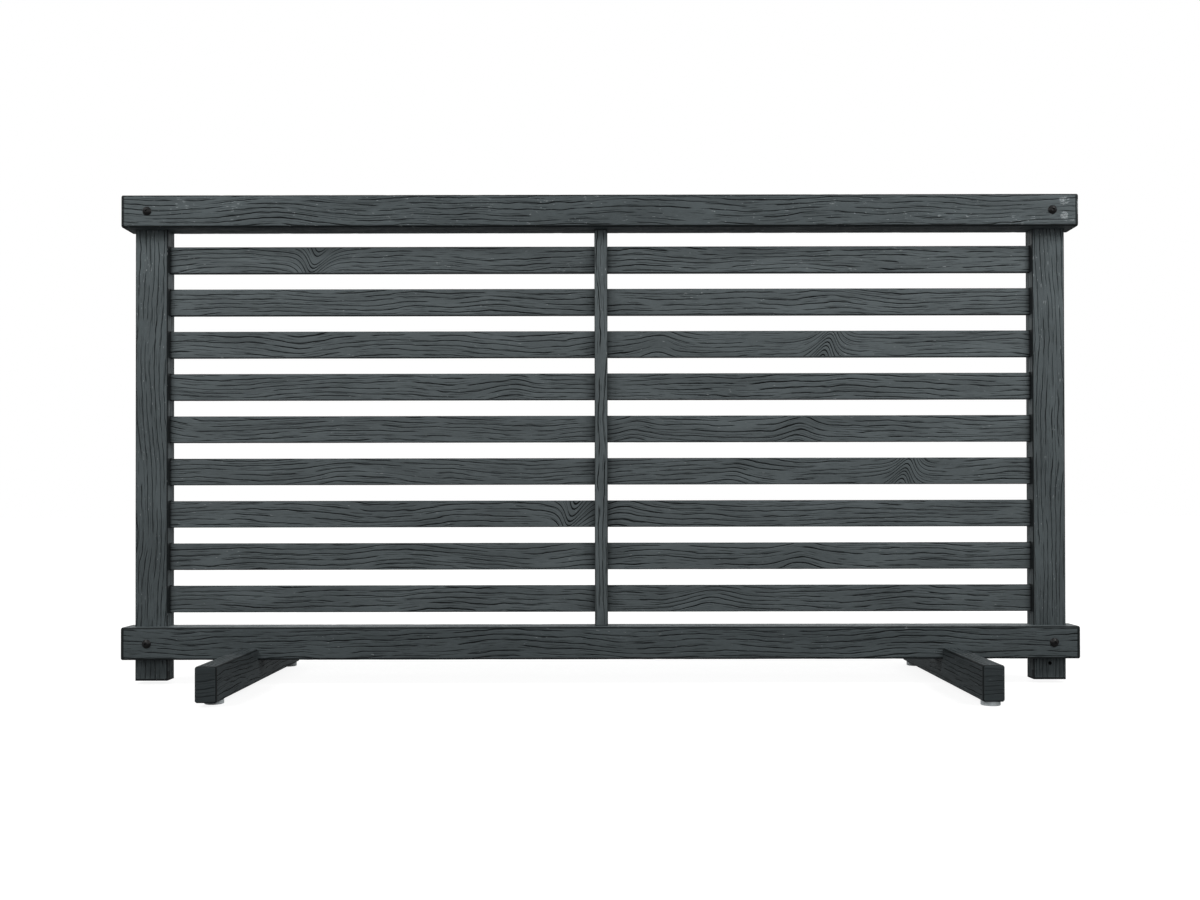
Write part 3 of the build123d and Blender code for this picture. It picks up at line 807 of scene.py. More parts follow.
@dataclass(frozen=True)
class VinylFinish:
    """Through-coloured vinyl with the wood grain pressed in, with painted shade along its edges and, where
    given, beside touching pieces and in front of the slats.

    Args:
        slot: The record's slot that it stands for.
        base: Colour of the flats.
        edge_line: Distances from an edge at which its line of painted shade starts and is full.
        wear: How scuffed it is, from 0 to 1.
        contacts: Painted shade beside each touching piece, where its contact shadow falls.
        rubs: Patches that are scuffed more.
        slots: Painted shade on a post in front of the slats, or None.
    """

    slot: Slot
    base: Colour
    edge_line: tuple[float, float]
    wear: float
    contacts: tuple[ContactShade, ...] = ()
    rubs: tuple[Rub, ...] = ()
    slots: SlotShade | None = None

    # Dark colour of the grain's lines and of the painted shade, and pale colour of the scuffs.
    CREVICE, SCUFF = colour(16, 19, 20), colour(168, 174, 176)
    DIM, BRIGHT = 0.72, 1.26
    TONE_SHARE, FIBRE_SHARE, TINT_RANGE = 0.7, 0.9, (0.48, 1.12)
    EDGE_DARK, LINE_DARK, SCUFF_COVER = 0.9, 1.3, 0.75
    WORN_HEIGHT = (0.55, 0.95)
    RUB_WEAR, RUB_RANGE = 8.5, (1.0, 0.3)
    ROUGH, LINE_ROUGH, FIBRE_ROUGH = 0.56, 0.25, 0.12
    FIBRE_HEIGHT, BUMP_DEPTH = 0.2, 0.45 * MM
    SPECULAR = 0.10

    def material(self, effects: Effects) -> bpy.types.Material:
        """Builds the material."""
        g = ShaderTree(self.slot.value)
        place, skin = g.attribute(EmbossTree.PLACE), g.attribute(EmbossTree.SKIN)
        grain = g.effect(effects.grain, {"Place": place, "Skin": skin})
        x, y, z = g.place().parts()
        worn = z.ramp(*self.WORN_HEIGHT)
        for rub in self.rubs:
            off = ((x - rub.x) / rub.length, (z - rub.z) / rub.height)
            worn = worn + (off[0] * off[0] + off[1] * off[1]).ramp(*self.RUB_RANGE) * self.RUB_WEAR
        scuffs = g.effect(effects.scuffs, {"Place": place, "Wear": worn + self.wear})["Scuffs"]
        lines, fibres, tone = grain["Lines"], grain["Fibres"], grain["Tone"]
        # Painted shade: a dark line along every edge and over the cut and joined faces inside, where rounded
        # edges and hollows fall into shade.
        edge = skin.parts()[0].ramp(*self.edge_line)
        pale = (tone * self.TONE_SHARE + fibres * self.FIBRE_SHARE).ramp(*self.TINT_RANGE)
        tint = g.mix(pale, scaled(self.base, self.DIM), scaled(self.base, self.BRIGHT))
        tint = g.mix(edge * self.EDGE_DARK, tint, self.CREVICE)
        tint = g.mix((lines * self.LINE_DARK).math("MINIMUM", 1.0), tint, self.CREVICE)
        tint = g.mix(scuffs * (1.0 - lines) * self.SCUFF_COVER, tint, self.SCUFF)
        # Painted shade beside each touching piece, such as the stile's contact shadow on the slats and the
        # shadowed slots at the posts.
        for contact in self.contacts:
            beside = (x - contact.centre).size().ramp(contact.half + contact.reach, contact.half)
            tint = g.mix(beside * contact.share, tint, self.CREVICE)
        # Painted shade on a post's inner side in front of each slat.
        if self.slots:
            tint = g.mix(self.slots.mask(x, y, z), tint, self.CREVICE)
        height = (1.0 - lines) * (1.0 - self.FIBRE_HEIGHT) + fibres * self.FIBRE_HEIGHT
        return g.dress(
            Base_Color=tint,
            Roughness=lines * self.LINE_ROUGH + fibres * self.FIBRE_ROUGH + self.ROUGH,
            Specular_IOR_Level=self.SPECULAR,
            Normal=g.bump(height, self.BUMP_DEPTH),
        )


@dataclass(frozen=True)
class MouldedFinish:
    """Plain moulded plastic or rubber with a fine speckle."""

    slot: Slot
    base: Colour
    grain_size: float
    roughness: float

    DIM = 0.72
    ROUGH_SPREAD = 0.2
    SPECULAR, BUMP_DEPTH = 0.3, 0.15 * MM

    def material(self, effects: Effects) -> bpy.types.Material:
        """Builds the material."""
        g = ShaderTree(self.slot.value)
        grain = g.effect(effects.speckle, {"Place": g.place(), "Grain size": self.grain_size})
        pale = (grain["Speckle"] + grain["Mottle"]) * 0.5
        roughness = (grain["Speckle"] - 0.5) * self.ROUGH_SPREAD + self.roughness
        return g.dress(
            Base_Color=g.mix(pale, scaled(self.base, self.DIM), self.base),
            Roughness=roughness,
            Specular_IOR_Level=self.SPECULAR,
            Normal=g.bump(grain["Speckle"], self.BUMP_DEPTH),
        )


@dataclass(frozen=True)
class MetalFinish:
    """Bare, plated or coated metal with drawn streaks."""

    slot: Slot
    base: Colour
    metallic: float
    roughness: float
    streak: float
    specular: float = 0.5

    DIM = 0.7
    STREAK_ROUGH, SPECKLE_ROUGH = 0.2, 0.1
    SPECKLE_SIZE, BUMP_DEPTH = 0.6 * MM, 0.05 * MM

    def material(self, effects: Effects) -> bpy.types.Material:
        """Builds the material."""
        g = ShaderTree(self.slot.value)
        drawn = g.effect(effects.brushed, {"Place": g.place(), "Width": self.streak})["Streaks"]
        grain = g.effect(effects.speckle, {"Place": g.place(), "Grain size": self.SPECKLE_SIZE})
        speckle = grain["Speckle"]
        pale = (drawn + grain["Mottle"]) * 0.5
        spread = (drawn - 0.5) * self.STREAK_ROUGH + (speckle - 0.5) * self.SPECKLE_ROUGH
        return g.dress(
            Base_Color=g.mix(pale, scaled(self.base, self.DIM), self.base),
            Metallic=self.metallic,
            Specular_IOR_Level=self.specular,
            Roughness=spread + self.roughness,
            Normal=g.bump((drawn + speckle) * 0.5, self.BUMP_DEPTH),
        )


def finishes() -> tuple[VinylFinish | MouldedFinish | MetalFinish, ...]:
    """Every finish of the panel, one for each slot."""
    # Painted shade: the stile's contact shadow on the slats and the shadow where the slats enter the posts.
    beside_stile = ContactShade.beside("stile_front", 12 * MM, 0.45)
    in_slots = [ContactShade.beside(post, 5 * MM, 0.9) for post in ("post_left", "post_right")]
    rubs = (Rub(0.912, 0.950, 0.014, 0.010), Rub(0.912, 0.921, 0.009, 0.009))
    cap_rub = Rub(0.939, 0.938, 0.005, 0.020)
    return (
        # The rails' base is set darker and the stile's a little lighter than the slats' as painted shade and
        # painted light, standing in for how the light falls on one vinyl.
        VinylFinish(Slot.RAIL, colour(79, 86, 88), (4.2 * MM, 2.2 * MM), wear=0.4, rubs=rubs),
        VinylFinish(
            Slot.POST, colour(80, 87, 89), (2.6 * MM, 1.2 * MM), wear=0.8, slots=SlotShade.of_slats(),
        ),
        VinylFinish(
            Slot.SLAT, colour(88, 95, 97), (1.6 * MM, 0.6 * MM), wear=0.1,
            contacts=(beside_stile, *in_slots),
        ),
        VinylFinish(Slot.STILE, colour(90, 97, 99), (1.6 * MM, 0.6 * MM), wear=0.4),
        VinylFinish(Slot.FOOT, colour(62, 68, 70), (3.4 * MM, 1.8 * MM), wear=0.0),
        VinylFinish(Slot.CAP, colour(56, 62, 64), (1.6 * MM, 0.8 * MM), wear=0.2, rubs=(cap_rub,)),
        MouldedFinish(Slot.PAD, colour(222, 229, 232), grain_size=0.5 * MM, roughness=0.7),
        MouldedFinish(Slot.CORE, colour(150, 150, 147), grain_size=0.9 * MM, roughness=0.6),
        MetalFinish(Slot.BLACK_STEEL, colour(9, 9, 10), 0.0, 0.42, streak=0.25 * MM, specular=0.2),
        MetalFinish(Slot.ZINC_STEEL, colour(190, 192, 194), 1.0, 0.35, streak=0.2 * MM),
        MetalFinish(Slot.ALUMINIUM, colour(214, 215, 217), 1.0, 0.38, streak=0.3 * MM),
    )


# Boards


@dataclass
class Workshop:
    """What the pieces are made with: the board tree and a material for each slot."""

    emboss: EmbossTree
    materials: dict[Slot, bpy.types.Material]

    def settle(self, piece: bpy.types.Object, slot: Slot, *nodes: str) -> None:
        """Attaches a finished piece to the body, hides the nodes that it replaces and logs its finish."""
        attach(piece, BODY)
        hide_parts(*nodes)
        LOG.info("%s: %d faces, finish %s", piece.name, len(piece.data.polygons), slot.value)


@dataclass
class Board:
    """One board with pressed grain.

    Args:
        low: Lowest corner of its block.
        high: Highest corner of its block.
        facing: How it lies.
        edge: Radius of its long edges.
        slot: Material slot.
        seed: Number of its own grain pattern.
        cell: Size of a face of its skin, along and across the board.
        depth: Depth of the pressed lines.
        strength: How strong its grain is, from 0 to 1.
        is_cap: Whether it is a cap's plate, rounded at all four sides of its face but not behind.
        corner: Radius of the corners of its face.
        knots: Knots in its face.
    """

    low: Vector
    high: Vector
    facing: Facing
    edge: float
    slot: Slot
    seed: float
    cell: tuple[float, float]
    depth: float = 0.40 * MM
    strength: float = 1.0
    is_cap: bool = False
    corner: float = 0.0
    knots: tuple[Knot, ...] = ()

    def build(
        self, shop: Workshop, name: str, hollow: Solids | None = None, openings: Solids | None = None,
        skirt: Solids | None = None,
    ) -> bpy.types.Object:
        """Makes the board.

        Args:
            shop: What it is made with.
            name: Name of the piece.
            hollow: What is cut out of its inside, or None.
            openings: What is cut through its walls, or None.
            skirt: What is joined to it, or None.

        Returns:
            The finished object.
        """
        turn = Euler(self.facing.value)
        size = turn.to_matrix().transposed() @ (self.high - self.low)
        size = [abs(side) for side in size]
        faces = (self.cell[0], self.cell[1], self.cell[1])
        cells = [max(2, round(side / face) + 1) for side, face in zip(size, faces)]
        tools = [(solids or Solids()).finish("tool") for solids in (skirt, hollow, openings)]
        values = {
            "Size": size, "Place": list((self.low + self.high) / 2), "Turn": list(turn),
            "Edge round": self.edge, "Corner round": self.corner,
            "End round": float(self.is_cap), "Back round": float(not self.is_cap),
            "Groove depth": self.depth, "Strength": self.strength, "Seed": self.seed,
            "Material": shop.materials[self.slot],
        }
        values.update(zip(("Cells X", "Cells Y", "Cells Z"), cells))
        values.update(zip(("Skirt", "Hollow", "Openings"), tools))
        knots = [*self.knots, *[NO_KNOT] * (KNOTS_A_BOARD - len(self.knots))]
        values.update({f"Knot {n}": knot.vector() for n, knot in enumerate(knots)})
        piece = new_object(name)
        baked(piece, shop.emboss.tree, values)
        for tool in tools:
            bpy.data.objects.remove(tool)
        return piece


BEYOND = 2 * MM


class Holes:
    """Radii of the holes that more than one piece has."""

    post_bolt = 5.4 * MM
    foot_bolt = 3.4 * MM
    screw = 2.2 * MM


def grown(box: tuple[Vector, Vector], *by: float) -> tuple[Vector, Vector]:
    """Box made larger on both sides by a margin for each axis."""
    return box[0] - Vector(by), box[1] + Vector(by)


def bolt_places() -> list[tuple[float, float]]:
    """Places of the four domed bolts as (x, z), from the corners of their node."""
    low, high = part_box("post_bolts")
    inset = BoltHead.radius
    return [(x, z) for z in (low.z + inset, high.z - inset) for x in (low.x + inset, high.x - inset)]


RAIL_KNOTS = {
    "top_rail": (Knot(-0.62, 0.012, 0.10), Knot(0.35, -0.010, 0.12)),
    "bottom_rail": (Knot(-0.20, 0.012, 0.12), Knot(0.62, 0.010, 0.1)),
}


@dataclass
class Rails:
    """The two long hollow rails with the pockets that hold the posts."""

    wall: float = 3 * MM
    edge: float = 5 * MM
    pocket_room: float = 0.5 * MM
    cell: tuple[float, float] = (4.4 * MM, 1.45 * MM)

    def build(self, shop: Workshop) -> None:
        """Builds both rails."""
        for seed, (node, knots) in enumerate(RAIL_KNOTS.items(), start=1):
            low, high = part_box(node)
            board = Board(low, high, Facing.FRONT, self.edge, Slot.RAIL, seed, self.cell, knots=knots)
            self._rail(shop, node, board, closed_above=node == "top_rail")

    def _rail(self, shop: Workshop, node: str, board: Board, closed_above: bool) -> None:
        """Builds one rail, whose pockets are open above unless it is closed there."""
        low, high = board.low, board.high
        hollow = Solids()
        hollow.box(*grown((low, high), BEYOND, -self.wall, -self.wall))
        openings = Solids()
        for post in ("post_left", "post_right"):
            pocket_low, pocket_high = grown(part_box(post), self.pocket_room, self.pocket_room, 0.0)
            pocket_low.z = low.z - BEYOND
            pocket_high.z = high.z - self.wall if closed_above else high.z + BEYOND
            pocket_high.y = high.y + BEYOND
            openings.box(pocket_low, pocket_high)
        for x, z in bolt_places():
            if low.z < z < high.z:
                inside = low.y + self.wall + BEYOND
                openings.rod((x, low.y - BEYOND, z), (x, inside, z), Holes.post_bolt)
        if not closed_above:
            inside = low.z + self.wall + BEYOND
            for x, y in foot_bolt_places():
                openings.rod((x, y, low.z - BEYOND), (x, y, inside), Holes.foot_bolt)
        piece = board.build(shop, f"{node}_board", hollow, openings)
        shop.settle(piece, Slot.RAIL, node)


def foot_bolt_places() -> list[tuple[float, float]]:
    """Places of the bolts up through the feet, as (x, y)."""
    low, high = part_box("foot_bolt_plates")
    foot_low, foot_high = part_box("foot_left")
    half = (foot_low.x + foot_high.x) / 2 - low.x
    return [(x, y) for x in (low.x + half, high.x - half) for y in (low.y + half, high.y - half)]


@dataclass
class Posts:
    """The two hollow posts, slotted for the slats."""

    wall: float = 3 * MM
    edge: float = 2.5 * MM
    slot_room: float = 0.5 * MM
    slot_headroom: float = 1 * MM
    grain: float = 0.75
    cell: tuple[float, float] = (4 * MM, 1.2 * MM)

    def build(self, shop: Workshop) -> None:
        """Builds both posts."""
        for seed, (node, side) in enumerate((("post_left", 1.0), ("post_right", -1.0)), start=11):
            low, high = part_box(node)
            board = Board(
                low, high, Facing.UPRIGHT, self.edge, Slot.POST, seed, self.cell, strength=self.grain,
            )
            hollow = Solids()
            hollow.box(*grown((low, high), -self.wall, -self.wall, BEYOND))
            openings = Solids()
            inner = high.x if side > 0 else low.x
            for slat in slat_boxes():
                slot_low, slot_high = grown(slat, 0.0, self.slot_room, 0.0)
                slot_high.z += self.slot_headroom
                ends = sorted((inner + side * BEYOND, inner - side * (self.wall + BEYOND)))
                slot_low.x, slot_high.x = ends
                openings.box(slot_low, slot_high)
            for hole in self._front_holes(low, high):
                openings.rod(*hole)
            piece = board.build(shop, f"{node}_board", hollow, openings)
            shop.settle(piece, Slot.POST, node)

    def _front_holes(self, low: Vector, high: Vector) -> list[tuple[tuple, tuple, float]]:
        """Start, end and radius of each hole through a post's front wall."""
        front, inside = low.y - BEYOND, low.y + self.wall + BEYOND
        places = [(x, z, Holes.post_bolt) for x, z in bolt_places()]
        for mount in frame["record"]["mounts"]:
            if mount["kind"] == "bore":
                x, _, z = mount["pos_m"]
                places.append((x, z, mount["dims"]["r_mm"] * MM))
        return [((x, front, z), (x, inside, z), r) for x, z, r in places if low.x < x < high.x]


SLAT_KNOTS = {
    1: (Knot(-0.566, -0.056, 0.025), Knot(0.10, 0.010, 0.09)),
    2: (Knot(-0.20, 0.014, 0.12), Knot(0.60, -0.010, 0.08)),
    3: (Knot(0.452, 0.062, 0.024), Knot(0.12, 0.016, 0.035), Knot(-0.60, -0.014, 0.07)),
    4: (Knot(-0.17, 0.014, 0.045), Knot(0.50, 0.010, 0.10)),
    5: (Knot(0.395, 0.020, 0.042), Knot(0.07, 0.014, 0.040), Knot(-0.45, -0.008, 0.10)),
    6: (Knot(0.606, 0.062, 0.024), Knot(0.27, 0.016, 0.045), Knot(-0.50, 0.010, 0.09)),
    7: (Knot(-0.055, -0.050, 0.022), Knot(0.04, 0.018, 0.05), Knot(0.55, 0.010, 0.10)),
    8: (Knot(-0.40, 0.012, 0.09), Knot(0.40, 0.016, 0.045)),
    9: (Knot(0.22, 0.020, 0.06), Knot(-0.30, 0.010, 0.10), Knot(0.62, 0.012, 0.07)),
}


def slat_boxes() -> list[tuple[Vector, Vector]]:
    """Boxes of the slats, from the top one down."""
    return [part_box(f"slat_{number}") for number in SLAT_KNOTS]


def screw_places() -> list[tuple[float, float]]:
    """Places of the stile's screws as (x, z), from the top one down."""
    low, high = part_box("stile_front")
    x = (low.x + high.x) / 2
    return [(x, (low.z + high.z) / 2) for low, high in slat_boxes()]


@dataclass
class Slats:
    """The horizontal slats, hollow with two inner webs."""

    edge: float = 2 * MM
    wall: float = 2 * MM
    web: float = 1.5 * MM
    web_spacing: float = 18 * MM
    first_seed: float = 20.0
    cell: tuple[float, float] = (4 * MM, 1.2 * MM)

    def build(self, shop: Workshop) -> None:
        """Builds every slat."""
        for (number, knots), (x, z) in zip(SLAT_KNOTS.items(), screw_places()):
            node = f"slat_{number}"
            low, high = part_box(node)
            seed = self.first_seed + number
            board = Board(low, high, Facing.FRONT, self.edge, Slot.SLAT, seed, self.cell, knots=knots)
            hollow = Solids()
            for cell in self._cells(low, high):
                hollow.box(*cell)
            openings = Solids()
            openings.rod((x, low.y - BEYOND, z), (x, high.y + BEYOND, z), Holes.screw)
            piece = board.build(shop, f"{node}_board", hollow, openings)
            shop.settle(piece, Slot.SLAT, node)

    def _cells(self, low: Vector, high: Vector) -> list[tuple[Vector, Vector]]:
        """The three cells along the inside of a slat."""
        middle = (low.z + high.z) / 2
        webs = [middle - self.web_spacing / 2, middle + self.web_spacing / 2]
        floors = [low.z + self.wall, *[web + self.web / 2 for web in webs]]
        roofs = [*[web - self.web / 2 for web in webs], high.z - self.wall]
        cells = []
        for floor, roof in zip(floors, roofs):
            cell_low, cell_high = grown((low, high), BEYOND, -self.wall, 0.0)
            cell_low.z, cell_high.z = floor, roof
            cells.append((cell_low, cell_high))
        return cells


@dataclass
class Stile:
    """The two battens that clamp the slats in the middle of the panel."""

    edge: float = 2 * MM
    sink: float = 4.2 * MM
    sink_depth: float = 2.4 * MM
    front_cover: float = 4.3 * MM
    cell: tuple[float, float] = (3.6 * MM, 1.15 * MM)

    def build(self, shop: Workshop) -> None:
        """Builds both battens."""
        for seed, node in enumerate(("stile_front", "stile_back"), start=41):
            low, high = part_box(node)
            board = Board(low, high, Facing.UPRIGHT, self.edge, Slot.STILE, seed, self.cell)
            openings = Solids()
            for x, z in screw_places():
                if node == "stile_front":
                    openings.rod((x, low.y + self.front_cover, z), (x, high.y + BEYOND, z), Holes.screw)
                else:
                    self._sunk_hole(openings, x, z, low.y, high.y)
            piece = board.build(shop, f"{node}_batten", None, openings)
            shop.settle(piece, Slot.STILE, node)

    def _sunk_hole(self, openings: Solids, x: float, z: float, front: float, back: float) -> None:
        """Adds a screw hole whose mouth is countersunk."""
        seat = back - self.sink_depth
        flare = (self.sink - Holes.screw) * BEYOND / self.sink_depth
        openings.rod((x, seat, z), (x, back + BEYOND, z), Holes.screw, self.sink + flare)
        openings.rod((x, front - BEYOND, z), (x, seat, z), Holes.screw)


@dataclass
class Feet:
    """The two hollow cross feet, notched for the lower rail."""

    wall: float = 3 * MM
    edge: float = 4 * MM
    notch_room: float = 0.5 * MM
    cell: tuple[float, float] = (3.2 * MM, 1.4 * MM)

    def build(self, shop: Workshop) -> None:
        """Builds both feet."""
        for seed, side in enumerate(("left", "right"), start=51):
            node = f"foot_{side}"
            low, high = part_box(node)
            board = Board(low, high, Facing.RIGHT, self.edge, Slot.FOOT, seed, self.cell)
            hollow = Solids()
            hollow.box(*grown((low, high), -self.wall, BEYOND, -self.wall))
            openings = Solids()
            rail_low, rail_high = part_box("bottom_rail")
            notch_low = Vector((low.x - BEYOND, rail_low.y - self.notch_room, rail_low.z))
            notch_high = Vector((high.x + BEYOND, rail_high.y + self.notch_room, high.z + BEYOND))
            openings.box(notch_low, notch_high)
            for x, y in foot_bolt_places():
                if low.x < x < high.x:
                    self._drill(openings, x, y, low.z, Holes.foot_bolt)
            for end in ("front", "rear"):
                pad_low, pad_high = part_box(f"pad_{side}_{end}")
                middle = (pad_low + pad_high) / 2
                self._drill(openings, middle.x, middle.y, low.z, Holes.screw)
            piece = board.build(shop, f"{node}_beam", hollow, openings)
            shop.settle(piece, Slot.FOOT, node)

    def _drill(self, openings: Solids, x: float, y: float, base: float, radius: float) -> None:
        """Adds a hole through the lower wall."""
        openings.rod((x, y, base - BEYOND), (x, y, base + self.wall + BEYOND), radius)


@dataclass
class EndCaps:
    """Caps that close the ends of the rails and the feet."""

    plate: float = 3 * MM
    skirt_wall: float = 2 * MM
    skirt_room: float = 3.3 * MM
    weld: float = 1.0 * MM
    edge: float = 2.6 * MM
    rail_corner: float = 5 * MM
    foot_corner: float = 4 * MM
    first_seed: float = 61.0
    grain_depth: float = 0.2 * MM
    grain: float = 0.55
    cell: tuple[float, float] = (1.3 * MM, 1.0 * MM)

    def build(self, shop: Workshop) -> None:
        """Builds the eight caps."""
        seed = self.first_seed
        for level in ("top", "bottom"):
            for side, facing in (("left", Facing.LEFT), ("right", Facing.RIGHT)):
                self._cap(shop, f"rail_cap_{level}_{side}", facing, 0, self.rail_corner, seed)
                seed += 1
        for side in ("left", "right"):
            for end, facing in (("front", Facing.FRONT), ("rear", Facing.BACK)):
                self._cap(shop, f"foot_cap_{side}_{end}", facing, 1, self.foot_corner, seed)
                seed += 1

    def _cap(
        self, shop: Workshop, node: str, facing: Facing, axis: int, corner: float, seed: float,
    ) -> None:
        """Builds one cap: a grained plate and the skirt behind it.

        Args:
            shop: What it is made with.
            node: Node that it stands for.
            facing: Where its plate looks.
            axis: Axis along which it is pushed in: 0 for X or 1 for Y.
            corner: Radius of the plate's corners.
            seed: Number of its own grain pattern.
        """
        low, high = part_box(node)
        plate_low, plate_high = low.copy(), high.copy()
        room = [0.0 if n == axis else -self.skirt_room for n in range(3)]
        skirt_low, skirt_high = grown((low, high), *room)
        if facing in (Facing.LEFT, Facing.FRONT):
            plate_high[axis] = low[axis] + self.plate
            skirt_low[axis] = plate_high[axis] - self.weld
        else:
            plate_low[axis] = high[axis] - self.plate
            skirt_high[axis] = plate_low[axis] + self.weld
        board = Board(
            plate_low, plate_high, facing, self.edge, Slot.CAP, seed, self.cell,
            depth=self.grain_depth, strength=self.grain, is_cap=True, corner=corner,
        )
        skirt = Solids()
        skirt.ring(skirt_low, skirt_high, axis, self.skirt_wall)
        piece = board.build(shop, f"{node}_plug", skirt=skirt)
        shop.settle(piece, Slot.CAP, node)


# Fasteners and pads


class BoltHead:
    """Sizes of a domed bolt's head and of its hexagon socket."""

    radius = 8.75 * MM
    height = 5.5 * MM
    rim = 0.9 * MM
    socket = 3.0 * MM
    socket_depth = 3.2 * MM
    shank = 5.0 * MM


class BoltTree:
    """Geometry tree that puts a domed socket bolt at each point of a mesh."""

    SHARP = math.radians(35)
    OVERLAP = 0.2 * MM
    HEAD_SIDES, HEAD_RINGS, SIDE_RINGS = 64, 10, 4
    SHANK_SIDES, SOCKET_SIDES = 32, 6

    def __init__(self) -> None:
        """Writes the tree."""
        sizes = ("Radius", "Height", "Rim", "Socket", "Socket depth", "Shank", "Length")
        inputs = {"Places": "Geometry", **dict.fromkeys(sizes, "Float"), "Material": "Material"}
        self.g = Graph.group("Domed bolts", "GeometryNodeTree", inputs, {"Bolts": "Geometry"})
        bolt = self.g.fused(self.g.cut(self._head(), self._socket()), self._shank())
        bolt = self.g.smoothed(bolt, self.SHARP)
        self.g.deliver("Bolts", self.g.at_places(bolt, math.pi / 2))

    def _disc(self, radius: Wire, depth: Wire, middle: Wire, sides: int, rings: int) -> Wire:
        """Cylinder along Z around a middle height."""
        g = self.g
        feeds = {"Side Segments": self.SIDE_RINGS, "Fill Segments": rings, "Radius": radius}
        feeds.update({"Vertices": sides, "Depth": depth})
        made = g.out("GeometryNodeMeshCylinder", feeds, fill_type="TRIANGLE_FAN")
        return g.moved(made, Translation=g.vector(0.0, 0.0, middle))

    def _head(self) -> Wire:
        """Head with its seat at Z = 0, domed above a short upright rim."""
        g = self.g
        radius, height, rim = g.given("Radius"), g.given("Height"), g.given("Rim")
        head = self._disc(radius, height, height / 2.0, self.HEAD_SIDES, self.HEAD_RINGS)
        x, y, z = g.out("GeometryNodeInputPosition").parts()
        out = (x * x + y * y).math("SQRT") / radius
        crown = height - rim
        roof = rim + crown * (1.0 - out * out)
        lifted = z / height * roof
        return g.out("GeometryNodeSetPosition", {"Geometry": head, "Position": g.vector(x, y, lifted)})

    def _socket(self) -> Wire:
        """Hexagon that is cut from the head."""
        g = self.g
        across = g.given("Socket") / math.cos(math.pi / 6)
        depth = g.given("Socket depth")
        return self._disc(across, depth * 2.0, g.given("Height"), self.SOCKET_SIDES, 1)

    def _shank(self) -> Wire:
        """Shank that starts inside the head."""
        length = self.g.given("Length")
        middle = length * -0.5 + self.OVERLAP
        return self._disc(self.g.given("Shank"), length, middle, self.SHANK_SIDES, 1)


def points_object(name: str, places: list[tuple[float, float, float]]) -> bpy.types.Object:
    """Object whose mesh is only the points given."""
    made = new_object(name)
    made.data.from_pydata(places, [], [])
    return made


@dataclass
class Bolts:
    """The four domed bolts through the rails into the posts."""

    def build(self, shop: Workshop) -> None:
        """Builds the bolts as one piece."""
        low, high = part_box("post_bolts")
        seat = low.y + BoltHead.height
        piece = points_object("post_bolts_domed", [(x, seat, z) for x, z in bolt_places()])
        values = {
            "Radius": BoltHead.radius, "Height": BoltHead.height, "Rim": BoltHead.rim,
            "Socket": BoltHead.socket, "Socket depth": BoltHead.socket_depth, "Shank": BoltHead.shank,
            "Length": high.y - seat, "Material": shop.materials[Slot.BLACK_STEEL],
        }
        baked(piece, BoltTree().g.tree, values)
        shop.settle(piece, Slot.BLACK_STEEL, "post_bolts")


class ScrewTree:
    """Geometry tree that puts a countersunk cross-recess screw at each point of a mesh."""

    HEAD_SIDES, SHANK_SIDES = 40, 24
    SHANK_SHARE, SHANK_GAP = 0.98, 0.5 * MM

    def __init__(self) -> None:
        """Writes the tree."""
        sizes = (
            "Head", "Head depth", "Shank", "Length", "Recess", "Recess width", "Recess depth",
        )
        inputs = {"Places": "Geometry", **dict.fromkeys(sizes, "Float"), "Material": "Material"}
        self.g = Graph.group("Countersunk screws", "GeometryNodeTree", inputs, {"Screws": "Geometry"})
        g = self.g
        head, shank, length = g.given("Head"), g.given("Shank"), g.given("Length")
        head_depth = g.given("Head depth")
        feeds = {"Radius Top": head, "Radius Bottom": shank, "Depth": head_depth}
        screw = g.out("GeometryNodeMeshCone", {"Vertices": self.HEAD_SIDES, **feeds})
        screw = g.moved(screw, Translation=g.vector(0.0, 0.0, head_depth * -1.0))
        feeds = {"Radius": shank * self.SHANK_SHARE, "Depth": length - self.SHANK_GAP}
        rod = g.out("GeometryNodeMeshCylinder", {"Vertices": self.SHANK_SIDES, **feeds})
        rod = g.moved(rod, Translation=g.vector(0.0, 0.0, (length + self.SHANK_GAP) * -0.5))
        screw = g.fused(screw, rod)
        for wide, narrow in (("Recess", "Recess width"), ("Recess width", "Recess")):
            size = g.vector(g.given(wide), g.given(narrow), g.given("Recess depth") * 2.0)
            screw = g.cut(screw, g.out("GeometryNodeMeshCube", {"Size": size}))
        g.deliver("Screws", g.at_places(screw, -math.pi / 2))


@dataclass
class StileScrews:
    """The screws that pull the stile's battens together."""

    head: float = 4 * MM
    head_depth: float = 2.4 * MM
    shank: float = 2 * MM
    recess: float = 4.2 * MM
    recess_width: float = 0.9 * MM
    recess_depth: float = 1.4 * MM

    def build(self, shop: Workshop) -> None:
        """Builds the screws as one piece."""
        low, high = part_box("stile_screws")
        places = [(x, high.y, z) for x, z in screw_places()]
        piece = points_object("stile_screws_countersunk", places)
        values = {
            "Head": self.head, "Head depth": self.head_depth, "Shank": self.shank, "Length": high.y - low.y,
            "Recess": self.recess, "Recess width": self.recess_width, "Recess depth": self.recess_depth,
            "Material": shop.materials[Slot.ZINC_STEEL],
        }
        baked(piece, ScrewTree().g.tree, values)
        shop.settle(piece, Slot.ZINC_STEEL, "stile_screws")


